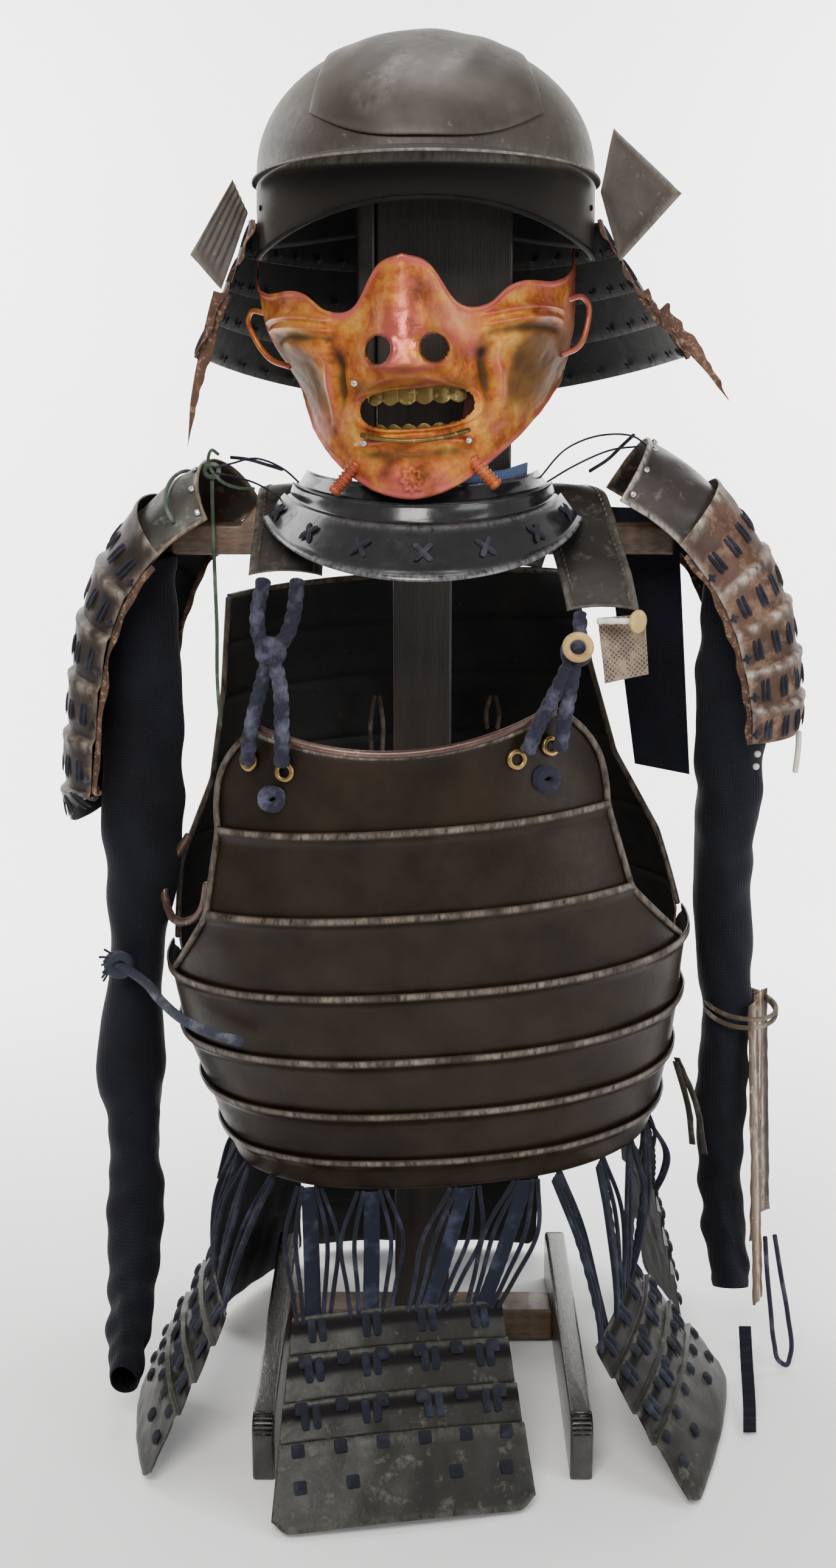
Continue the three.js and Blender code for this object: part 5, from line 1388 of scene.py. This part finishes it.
sideways = cordRing["half"] * np.cos(turn)
hoop = stacked(sideways * math.cos(turned), -sideways * math.sin(turned) - cordRing["lean"] * np.sin(turn),
               cordRing["rise"] * np.sin(turn)) + cordRing["middle"]
addPiece("cord_ring", hoopMesh("cord_ring", hoop, cordRing["thick"], 14), horn, slot="horn",
         stands=["cord_ring"])
stemLine = [(112, -103, 560), (124, -105, 560.5), (136, -104, 560)]
stemWaist = 1 + 0.12 * np.cos(np.linspace(0, 6 * np.pi, 41))[:, None] + np.zeros((1, 14))
addPiece("toggle_stem", tubeMesh("toggle_stem", stemLine, 2, 40, 14, swell=stemWaist), bone, slot="horn")
# The toggle's disc: a profile of reach and thickness turned about its axis
toggle = {
    "middle": [137, -104, 560], "tilt": -48,
    "profile": [(0.05, 1.6), (3.4, 1.9), (5.6, 1.4), (6.9, 1.5), (7.5, 0.6), (7.5, -0.6), (6.9, -1.5),
                (0.05, -1.6)],
}
reach, height = np.array(toggle["profile"]).T[:, :, None, None]
turn, tilt = fullTurn(40)[None, :, None], math.radians(toggle["tilt"])
axis, flat = np.array([math.cos(tilt), math.sin(tilt), 0]), np.array([-math.sin(tilt), math.cos(tilt), 0])
disc = toggle["middle"] + height * axis + reach * (np.cos(turn) * flat + np.sin(turn) * [0, 0, 1])
platePiece("toggle_pin", disc[::-1], horn, closed=True, weld=True, slot="horn")


print("shoulder guards")
guard = {"wall": 2, "step": 3, "y": -4, "gap": 0.3, "capRows": 2, "leftTurn": 20, "leftTip": 36,
         "round": 140, "long": 230}
guardRight = [
    (151, 669, 59, 44, 48), (177, 653, 56, 44, 50), (203, 630, 48, 44, 52), (230, 595, 35, 44, 54),
    (246, 561, 22, 43, 55), (255, 527, 12, 42, 55), (259, 497, 5, 40, 54), (259, 469, 2, 38, 52),
]
guardLeft = [
    (-142, 655, 64, 40, 44), (-166, 641, 56, 41, 46), (-188, 620, 46, 41, 48), (-209, 591, 33, 41, 50),
    (-223, 555, 20, 40, 51), (-231, 515, 10, 39, 51), (-236, 474, 4, 38, 50), (-239, 434, 0, 36, 49),
    (-237, 402, -3, 34, 47),
]


# Half pipe along a ridge line; columns are x and z of the ridge, lean, depth and half width
def guardSurface(table, side, turnDegrees, tip):
    turned = math.radians(turnDegrees)

    def surface(u, v):
        u, v = paired(u, v)
        swing = np.pi * (u - 0.5) * -side
        x, z, lean, depth, half = (alongRows(table, np.clip(v, 0, 1), k) for k in range(5))
        inward = depth * (1 - np.cos(swing))
        over = half * np.sin(swing)
        dx = -inward * np.cos(np.radians(lean))
        sag = tip * np.maximum(v - 0.86, 0) / 0.14 * (1 - np.cos(swing))
        return stacked(x + side * (dx * math.cos(turned) - over * math.sin(turned)),
                       guard["y"] + dx * math.sin(turned) + over * math.cos(turned),
                       z - inward * np.sin(np.radians(lean)) + sag)
    return surface


guardKnots, guardLaces, fuzz, beads = [], [], [], []
for label, table, side, swivel, tip, capFinish, lameFinish in (
        ("right", guardRight, 1, 0, 0, guardMauve, guardRust),
        ("left", guardLeft, -1, guard["leftTurn"], guard["leftTip"], guardPatina, guardBrown)):
    surface = guardSurface(table, side, swivel, tip)
    capShare = guard["capRows"] / (len(table) - 1)
    u, v = gridOf(110, 50)
    v = v * capShare
    border = np.minimum(np.minimum(u, 1 - u) * guard["round"], np.minimum(v, capShare - v) * guard["long"])
    lift = 1.1 * bell(border - 1.8, 1.5) + 0.4 * ripple(u * 14, v * 20, 3, 180 + side, 10)
    name = f"shoulder_guard_cap_{label}"
    platePiece(name, lifted(surface(u, v), lift - 0.5), capFinish, lining=guardBrown,
               marks={"wear": bell(border - 1, 2.4)}, wall=guard["wall"], round=0.5, slot="guard_lacquer")
    count = len(table) - 1 - guard["capRows"]
    raised = guard["wall"] + guard["gap"] + guard["step"]
    rows = []
    for i in range(count):
        high = capShare + (1 - capShare) * i / count - (0.04 if i == 0 else 0)
        low = capShare + (1 - capShare) * (i + 1) / count - 0.012
        for k in range(14):
            share = k / 14
            rows.append((high + (low - high) * share, raised - guard["step"] * share, i, share))
        rows.append((low, raised - guard["step"], i, 1.0))
    rows = np.array(rows)
    u, v = np.meshgrid(np.linspace(0, 1, 131), rows[:, 0])
    share = rows[:, 3][:, None] + 0 * u
    lift = (rows[:, 1][:, None] + 0.9 * bell(share - 0.05, 0.07)
            + 0.35 * ripple(u * 16, v * 26, 3, 190 + side, 10))
    points = lifted(surface(u, v), lift)
    wear = np.clip(bell(share, 0.12) * (0.6 + 0.5 * ripple(u * 30, v * 40, 3, 195))
                   + 0.5 * bell(np.minimum(u, 1 - u), 0.02), 0, 1)
    name = f"shoulder_guard_{label}"
    platePiece(name, points, lameFinish, lining=insideBlack, marks={"wear": wear}, wall=guard["wall"],
               round=0.4, slot="guard_lacquer")
    for i in range(count):
        middle = capShare + (1 - capShare) * (i + 0.5) / count
        spots = np.linspace(0.08, 0.92, 9)
        for shift in (-0.012, 0.012):
            guardLaces.append(frameOn(surface, spots + shift, np.full(9, middle), raised - 1.3))
        guardKnots.append(frameOn(surface, np.array([0.02, 0.98]), np.full(2, middle + 0.02), raised - 0.5))
    for edge, way in ((0.0, -1), (1.0, 1)):
        share = np.linspace(capShare, 0.99, 110)
        where, right, up, out = frameOn(surface, np.full(110, edge), share, 1.5)
        fuzz.append(ribbonMesh("fuzz", where, right * way, out, 4.2, 0.3, 200 + side + int(edge) * 5))
    rimSpots = np.array([0.06, 0.2, 0.36, 0.5, 0.64, 0.8, 0.94])
    beads.append(frameOn(surface, rimSpots, np.full(7, capShare * 0.1), 0.2))
stampedPiece("guard_lacing", padShape(3.0, 16, 1.2, 6, 7), gathered(guardLaces), navyLace)
stampedPiece("guard_knots", knotShape(3.6, 2), gathered(guardKnots), violetLace)
joinedPiece("guard_trim", fuzz, tornTrim, wall=1.2, slot="cord")
stampedPiece("guard_rivets", knotShape(2.4, 1.5, 2, 0.0), gathered(beads), silver, slot="gilt")

guardCords = {
    "guard_cord_left": [(-129, -6, 656), (-118, -9, 655), (-106, -12, 652), (-94, -14, 648.5)],
    "guard_cord_right": [(142, -6, 671), (134, -9, 664), (124, -13, 655), (112, -15, 647.5)],
}
for name, route in guardCords.items():
    addPiece(name, tubeMesh(name, route, 1.2, 60, 10), navyLace, slot="cord", stands=[name])


print("sleeves")
sleeves = {
    "left": [
        (-189, -9, 590.6, 21, 21), (-191, -9, 520, 23, 22), (-196, -7, 440, 25, 23), (-199, 4, 370, 25, 26),
        (-208, 12, 290, 18, 26), (-213, 12, 215, 23, 27), (-211, 0, 165, 18, 24), (-208, -24, 122, 16, 21),
        (-206, -62, 86, 15, 19), (-205, -102, 60, 12, 18), (-204, -136, 42, 9, 16),
    ],
    "right": [
        (212, 4, 590, 18, 20), (215, 4, 520, 21, 23), (217, 10, 430, 21, 27), (217, 20, 350, 19, 29),
        (222, 18, 262, 17, 27), (220, 14, 190, 14, 24), (223, 2, 110, 13, 22), (228, -22, 52, 12, 21),
    ],
}
sleeveFold = 0.035


# Cloth tube round a centre line; columns are x, y, z and the half sizes sideways and forwards
def sleeveSurface(table):
    def surface(u, v):
        u, v = paired(u, v)
        share = np.clip(1 - v, 0, 1)
        middle = pointsAlong(table, share)
        low, high = np.clip(share - 0.01, 0, 1), np.clip(share + 0.01, 0, 1)
        ahead = unit(pointsAlong(table, high) - pointsAlong(table, low))
        sideways = np.broadcast_to(np.array([1.0, 0, 0]), ahead.shape)
        forward = unit(np.cross(ahead, sideways))
        angle = 2 * np.pi * u
        crease = 1 + sleeveFold * np.sin(3 * angle + 9 * share) * np.sin(14 * share)
        return (middle + sideways * (np.cos(angle) * alongRows(table, share, 3) * crease)[..., None]
                + forward * (np.sin(angle) * alongRows(table, share, 4) * crease)[..., None])
    return surface


for label, table in sleeves.items():
    surface = sleeveSurface(table)
    u, v = gridOf(120, 250, closed=True)
    # Slanting folds that gather in bands down the arm, and soft dents between them
    bands = np.sin(2 * np.pi * (11 * v + 0.45 * np.sin(2 * np.pi * u + 3)) + 2 * np.cos(2 * np.pi * u))
    bands = np.sign(bands) * np.abs(bands) ** 0.7
    lift = (0.7 * bands * np.abs(np.sin(9 * v + 1))
            + 1.9 * ripple(np.sin(2 * np.pi * u) * 1.6, v * 17, 2, 230, 9)
            + 0.9 * ripple(np.cos(2 * np.pi * u) * 5, v * 70, 2, 231, 9))
    hem = np.maximum(bell(v, 0.006), bell(1 - v, 0.006))
    lift = lift * ease(np.minimum(v, 1 - v), 0.005, 0.03) + 0.7 * hem - 0.6
    points = lifted(surface(u, v), lift, closed=True)
    name = f"sleeve_{label}"
    cloth = platePiece(name, points, navyCloth, closed=True, wall=2, slot="sleeve_cloth")

panelA = cornerSurface([(152, 25, 437), (191, 21, 430), (178, 22, 600), (128, 26, 600)], 0)
panelB = cornerSurface([(128, 26, 588), (191, 22, 588), (188, 22, 618), (126, 26, 620)], 0)
u, v = gridOf(40, 110)
folds = 1.0 * np.sin(11 * u + 2 * v) * ease(np.minimum(v, 1 - v), 0.0, 0.1)
yokeA = gridMesh("yoke", lifted(panelA(u, v), folds * 0.8))
u, v = gridOf(40, 24)
yokeB = gridMesh("yoke", lifted(panelB(u, v), 0.7 * np.sin(11 * u) * np.sin(np.pi * v) + 1.6))
yoke = joinedPiece("sleeve_yoke_right", [yokeA, yokeB], navyCloth, wall=2, slot="sleeve_cloth",
                   stands=["sleeve_yoke_right"])

# Splints outside the right forearm: a shallow trough with a raised spine, tied round at the top
splintWidth = 17
splints = [((239, -8, 268), (248, -30, 44), 60), ((246, 8, 270), (249, 0, 80), 60),
           ((249, 24, 266), (257, 18, 92), 40)]
for i, (top, bottom, heading) in enumerate(splints):
    low, high = np.array(bottom, float), np.array(top, float)
    across = np.array([math.cos(math.radians(heading)), math.sin(math.radians(heading)), 0])
    u, v = gridOf(24, 130)
    flat = low + (high - low) * v[..., None] + across * ((u - 0.5) * splintWidth)[..., None]
    side = np.abs(2 * u - 1)
    lift = 0.9 * bell(side, 0.25) + 0.6 * bell(side - 0.86, 0.12) + 0.3 * ripple(u * 3, v * 30, 3, 240 + i)
    lift = lift - 1.2 * ease(side, 0.9, 1)
    name = f"sleeve_splint_right_{i + 1}"
    platePiece(name, lifted(flat, lift - 0.6), splintDark if i == 2 else splintHide,
               marks={"wear": bell(side, 0.3)}, wall=2.2, round=0.5, slot="splint")

hand = [(235, -48, 34), (232, -78, 22), (229, -110, 10), (225, -138, 3.5)]
u, v = gridOf(10, 60)
middle = pointsAlong(hand, 1 - v)
points = middle + stacked((u - 0.5) * 9, 0, 0.35 * np.sin(v * 60))
platePiece("hand_strap_right", points, navyCloth, wall=2, round=0.5, slot="sleeve_cloth")


print("skirts")
skirt = {"wall": 2, "step": 2.6, "laceWidth": 11, "laceWall": 1.6, "lap": 5, "gap": 1.2,
         "shares": (0.4, 0.19, 0.22, 0.19), "knots": 6}
# Middle of the top and bottom edge, heading in degrees, both widths, bow, and where each lace hangs from
skirts = [
    ("skirt_front", (-16, -148, 104), (-10, -246, 8), 10, 142, 174, 7, (-35, -16, 4, 19)),
    ("skirt_front_right", (136, -114, 96), (205, -143, 7), 75, 138, 176, 8, (28, 44, 60, 76)),
    ("skirt_front_left", (-141, -110, 112), (-197, -136, 7), -82, 118, 130, 6, (-93, -80, -66, -50)),
    ("skirt_side_right", (166, 38, 128), (193, 40, 6), 100, 92, 104, 5, (84, 96, 108)),
    ("skirt_side_left", (-126, 54, 130), (-135, 68, 6), -121, 108, 124, 5, (-136, -122, -108)),
    ("skirt_back_right", (53, 122, 108), (50, 142, 6), 176, 84, 88, 4, (146, 156, 168)),
    ("skirt_back_left", (-43, 122, 108), (-46, 142, 6), 184, 84, 88, 4, (-146, -156, -168)),
]


# A skirt's bowed plate, and the direction along its lames
def skirtSurface(top, bottom, heading, topWidth, bottomWidth, bow):
    top, bottom = np.array(top, float), np.array(bottom, float)
    across = np.array([math.cos(math.radians(heading)), math.sin(math.radians(heading)), 0])
    normal = unit(np.cross(bottom - top, across))

    def surface(u, v):
        u, v = paired(u, v)
        side = 2 * u - 1
        half = (bottomWidth + (topWidth - bottomWidth) * v) / 2
        return (bottom + (top - bottom) * v[..., None] + across * (side * half)[..., None]
                - normal * (bow * side**2)[..., None])
    return surface, across


stops = np.concatenate([[0], np.cumsum(skirt["shares"])])
skirtKnots, lacing, laceMeshes, strandMeshes = [], [], [], []
for index, (name, *plate, laceAngles) in enumerate(skirts):
    surface, across = skirtSurface(*plate)
    rows = []
    for i in range(4):
        low = stops[i] + (0.012 if i else 0)
        for k in range(12):
            share = k / 12
            rows.append((low + (stops[i + 1] - low) * share, skirt["step"] * share, share))
        rows.append((stops[i + 1], skirt["step"], 1.0))
    rows = np.array(rows)
    u, v = np.meshgrid(np.linspace(0, 1, 91), rows[:, 0])
    share = rows[:, 2][:, None] + 0 * u
    # Lower corners of the bottom lame are rounded off by drawing its ends up
    corner = ease(np.abs(2 * u - 1), 0.8, 1.02) ** 2 * (1 - ease(v, 0.0, 0.18)) * 0.07
    lift = (rows[:, 1][:, None] + 0.7 * bell(share - 0.95, 0.05) + 0.7 * bell(v - 0.02, 0.02)
            + 0.3 * ripple(u * 14, v * 12, 3, 250 + index, 10) - 0.4)
    points = lifted(surface(u, v + corner), lift)
    wear = np.clip(bell(share - 0.96, 0.06) + bell(v, 0.02) + 0.5 * bell(np.minimum(u, 1 - u), 0.012), 0, 1)
    shade = ease(share, 0.45, 0.62) * (1 - ease(share, 0.8, 0.9)) * (v > skirt["shares"][0])
    platePiece(name, points, skirtGrey, lining=insideBlack, marks={"wear": wear, "shade": shade},
               wall=skirt["wall"], round=0.4, slot="skirt_lacquer")
    for i in range(1, 4):
        spots = np.linspace(0.08, 0.92, skirt["knots"])
        skirtKnots.append(frameOn(surface, spots, np.full(len(spots), stops[i] - 0.035), skirt["step"] + 0.4))
    for i in (2, 3, 4):
        for shift in (-0.024, 0.024):
            lacing.append(frameOn(surface, np.array([0.12, 0.37, 0.63, 0.88]) + shift,
                                  np.full(4, stops[i] - 0.07), skirt["step"] * 0.6))
    spots = np.array([0.1, 0.3, 0.7, 0.9])
    skirtKnots.append(frameOn(surface, spots, np.full(4, 0.2), skirt["step"] * 0.5 + 0.3))
    for i, angle in enumerate(laceAngles):
        spot = 0.1 + 0.8 * i / (len(laceAngles) - 1)
        up = unit(surface(spot, 1.0) - surface(spot, 0.0))
        foot = surface(spot, 1.0) - up * skirt["lap"]
        head = fromCuirass(cuirassPoint(angle, cuirass["bottom"])) - [0, 0, skirt["gap"]]
        u, v = gridOf(6, 50)
        slack = 3 * np.sin(np.pi * v) + 0.35 * np.sin(70 * v)
        outward = np.cross(across, [0, 0, 1])
        strip = (foot + (head - foot) * v[..., None] + across * ((u - 0.5) * skirt["laceWidth"])[..., None]
                 + outward * (slack + 0.5 * bell(np.abs(2 * u - 1) - 0.8, 0.2))[..., None])
        laceMeshes.append(gridMesh("lace", strip))
        # Two thin strands beside each flat lace, each with its own slack
        for k in (-1.7, -1, 1, 1.7):
            sway = 5 + 4 * math.sin(3.1 * index + 1.7 * i + k)
            side = across * (k * (8 + 2 * math.sin(index + i)))
            route = [head + side * 0.6, head * 0.62 + foot * 0.38 + outward * sway + side * 1.3,
                     head * 0.25 + foot * 0.75 + outward * sway * 0.7 + side, foot + side * 0.8]
            strandMeshes.append(tubeMesh("strand", route, 1.6, 38, 8))
stampedPiece("skirt_knots", padShape(8.5, 8.5, 2.4, 8, 7), gathered(skirtKnots), navyLace)
stampedPiece("skirt_lacing", padShape(5.5, 17, 2.2, 6, 5), gathered(lacing), blueLace)
joinedPiece("skirt_laces", laceMeshes, blueLace, wall=skirt["laceWall"], round=0.4, slot="cord")
joinedPiece("skirt_strands", strandMeshes, navyLace, slot="cord")


print("small pieces")
# Orange string wound loosely round the left sleeve's forearm in two crossing loops
sleeveLeft = sleeveSurface(sleeves["left"])
turn = fullTurn(90)
orangeMeshes = []
for middle, wide, tall, lean in ((0.455, 0.1, 0.05, 0.35), (0.415, 0.13, 0.032, -0.5)):
    around = 0.27 + wide * np.cos(turn) * math.cos(lean) - 0.6 * wide * np.sin(turn) * math.sin(lean)
    along = middle + tall * np.sin(turn) * math.cos(lean) + 0.3 * tall * np.cos(turn) * math.sin(lean)
    orangeMeshes.append(hoopMesh("loop", frameOn(sleeveLeft, around, along, 2.6)[0], 0.9, 8))
joinedPiece("sleeve_string_left", orangeMeshes, orangeCord, slot="cord")

# Frayed knot at the waist cord's free end, its strands fanned out
knot = np.array([-214, -28.5, 304])
frayed = knotMeshes(knot, 7.5, 3.4)
for i in range(7):
    bend = -0.9 + 0.3 * i
    reach = np.array([-11 - 2 * math.sin(3 * i), -4 + 3 * math.cos(2 * i), 13 * bend])
    frayed.append(tubeMesh("strand", [knot, knot + reach * 0.6 + [0, 0, 2], knot + reach], 0.9, 20, 6))
joinedPiece("waist_knot", frayed, greyBraid, slot="cord")

# Rope tied twice round the tops of the splints
ropes = []
for lift in (0, 4.4):
    ring = stacked(232 + 25 * np.cos(turn), 8 + 36 * np.sin(turn), 258 + lift + 1.5 * np.sin(turn + lift))
    swell = 1.7 + 0.25 * np.sin(45 * turn)
    ropes.append(hoopMesh("rope", ring, swell, 10))
joinedPiece("splint_rope", ropes, tanCord, slot="cord")

# Faded green cord over the left cap, with a knot where the hanging string leaves it
capLeft = guardSurface(guardLeft, -1, guard["leftTurn"], 0)
across = np.linspace(0.08, 0.9, 40)
where = frameOn(capLeft, across, 0.105 + 0.012 * np.sin(9 * across), 1.8)[0]
greens = [tubeMesh("band", where, 1.3, 120, 8)]
knot = np.array([-141, -18, 648])
greens += knotMeshes(knot, 5, 1.5)
greens.append(tubeMesh("run", [knot, (-134, -21, 641), (-124, -20, 637), (-113, -17, 636)], 1.2, 40, 8))
greens.append(tubeMesh("tail", [knot, (-143, -20, 655), (-140, -22, 662), (-136, -20, 659)], 1.1, 40, 8))
joinedPiece("cap_cord_left", greens, greenLace, slot="green_cord")

# Thin dark strings between the guards and the throat guard
wires = []
for route in ([(-140, -18, 650), (-128, -24, 653), (-110, -30, 657), (-92, -30, 650), (-80, -34, 640)],
              [(-141, -18, 647), (-126, -26, 645), (-108, -34, 640), (-92, -40, 630), (-84, -48, 622)],
              [(76, -40, 644), (96, -30, 664), (120, -24, 672), (142, -18, 670), (150, -12, 664)],
              [(80, -30, 640), (100, -30, 652), (124, -26, 662), (146, -14, 664)]):
    wires.append(tubeMesh("wire", route, 0.7, 60, 8))
joinedPiece("thin_strings", wires, navyLace, slot="cord")

# Torn slivers of lacing that hang from the neck guard's front corners
slivers = []
for line, wide, seed in (([(-128, -53, 763), (-137, -55, 733), (-146, -57, 700), (-152, -57, 667)], 11, 310),
                         ([(150, -58, 752), (163, -60, 739), (181, -63, 718), (196, -64, 696)], 12, 320),
                         ([(140, -55, 764), (150, -59, 748), (160, -60, 741), (168, -61, 728)], 9, 330)):
    line = np.array(line, float)
    share = np.linspace(0, 1, 60)
    middle = pointsAlong(line, share)
    ahead = unit(np.gradient(middle, axis=0))
    side = unit(np.cross(ahead, [0, 1, 0]))
    taper = (1 - share**1.6)[:, None]
    slivers.append(ribbonMesh("sliver", middle - side * wide * 0.5 * taper, side, [[0.0, -1, 0]],
                              wide * taper[:, 0][None], 0.12, seed, rows=6, wave=0.8))
joinedPiece("neck_guard_slivers", slivers, tornTrim, wall=1.1, slot="cord")

# A pale rod that hangs from the right guard's lowest lame, and beads beside the sleeve
rodMesh = tubeMesh("guard_rod_right", [(259, -22, 470), (259, -23, 462), (257.5, -24, 443)], 2.1, 30, 12)
addPiece("guard_rod_right", rodMesh, bone, slot="horn")
beadShape = knotShape(2.4, 2.2, 2, 0.0)
where = np.array([(232, -23, 478), (231, -23, 455), (230.5, -22.5, 446)], float)
right, up, out = (np.tile(axis, (3, 1)) for axis in ([1.0, 0, 0], [0, 0, 1.0], [0, -1.0, 0]))
stampedPiece("sleeve_beads", beadShape, (where, right, up, out), bone, slot="horn")

# Two ties on the inside of the back, and a rolled tan loop at the left armhole
ties = []
for x, high, low in ((-34, 470, 427), (53, 470, 446)):
    for shift in (-4, 4):
        route = [(x + shift, 106, low), (x + shift * 1.2, 101, (low + high) / 2),
                 (x + shift * 0.5, 105, high)]
        ties.append(tubeMesh("tie", route, 1.8, 40, 8))
joinedPiece("back_ties", ties, tanCord, slot="cord")
loopPath = [(-164, -14, 394), (-176, -8, 374), (-182, -12, 356), (-176, -28, 340), (-162, -48, 342),
            (-150, -62, 356), (-146, -66, 374)]
addPiece("armhole_loop_left", tubeMesh("armhole_loop_left", loopPath, 3, 90, 12), rimBronze,
         slot="brown_lacquer")

# Two thin black straps that hang at the cuirass's lower right
strapMeshes = []
for route in (((177, -40, 236), (186, -46, 205), (190, -47, 176)),
              ((178, -38, 238), (192, -44, 205), (199, -46, 168))):
    share = np.linspace(0, 1, 40)
    middle = pointsAlong(route, share)
    side = np.tile(unit(np.array([0.8, -0.5, 0.1])), (40, 1))
    strapMeshes.append(ribbonMesh("strap", middle, side, [[0.0, -1, 0]], 4.5, 0.03, 340, rows=4, wave=0.2))
joinedPiece("waist_straps_right", strapMeshes, strapLeather, wall=1.2, slot="strap_leather")


print("floor and light")
# A pale floor that bends up into a backdrop behind
half, back, bend = studio["floor"] / 2, studio["wallAt"], studio["bendRadius"]
rise = np.linspace(0, np.pi / 2, 24)
profile = [(-half, 0), (back - bend, 0)]
profile += [(back - bend + bend * math.sin(t), bend * (1 - math.cos(t))) for t in rise[1:]]
profile = np.array(profile + [(back, half)])[:, None]
floorMesh = gridMesh("floor", stacked([[-half, half]], profile[..., 0], profile[..., 1]))
floor = bpy.data.objects.new("floor", floorMesh)
bpy.context.collection.objects.link(floor)
shadeSmooth(floorMesh)
b = Bench("paleFloor")
tone = b.mix(b.noise(3, 3), (0.9, 0.895, 0.885), (0.94, 0.935, 0.925))
paleFloor = b.finish(Base_Color=tone, Roughness=0.85)
# Clear from behind, so that the wall never hides the armour's back
nodes, links = paleFloor.node_tree.nodes, paleFloor.node_tree.links
output = next(node for node in nodes if node.type == "OUTPUT_MATERIAL")
facing, clear, either = (nodes.new(kind) for kind in ("ShaderNodeNewGeometry", "ShaderNodeBsdfTransparent",
                                                      "ShaderNodeMixShader"))
links.new(facing.outputs["Backfacing"], either.inputs[0])
links.new(output.inputs["Surface"].links[0].from_socket, either.inputs[1])
links.new(clear.outputs[0], either.inputs[2])
links.new(either.outputs[0], output.inputs["Surface"])
floorMesh.materials.append(paleFloor)

world = bpy.data.worlds.new("world")
bpy.context.scene.world = world
world.use_nodes = True
sky = world.node_tree.nodes["Background"]
sky.inputs[0].default_value, sky.inputs[1].default_value = studio["sky"], studio["skyPower"]


# A soft area light that looks at a point of the armour
def areaLight(name, where, target, width, height, power, tint=(1, 1, 1)):
    data = bpy.data.lights.new(name, "AREA")
    data.shape = "RECTANGLE"
    data.size, data.size_y = width / 1000, height / 1000
    data.energy = power
    data.color = tint
    lamp = bpy.data.objects.new(name, data)
    bpy.context.collection.objects.link(lamp)
    lamp.location = place(where)
    aim = Vector(place(target) - place(where))
    lamp.rotation_euler = aim.to_track_quat("-Z", "Y").to_euler()


areaLight("key", (-300, -1500, 1700), (0, 0, 560), 900, 700, 34, (1, 0.97, 0.93))
areaLight("fill", (1300, -900, 900), (0, 0, 450), 900, 1200, 14, (0.93, 0.96, 1))
areaLight("top", (0, 100, 1900), (0, 0, 600), 700, 700, 12)
areaLight("rim", (-1100, 700, 1200), (0, 0, 500), 600, 900, 8)
for side, name in ((-1, "wallLeft"), (1, "wallRight")):
    areaLight(name, (side * 900, 750, 900), (side * 300, 1500, 500), 500, 1200, 32)
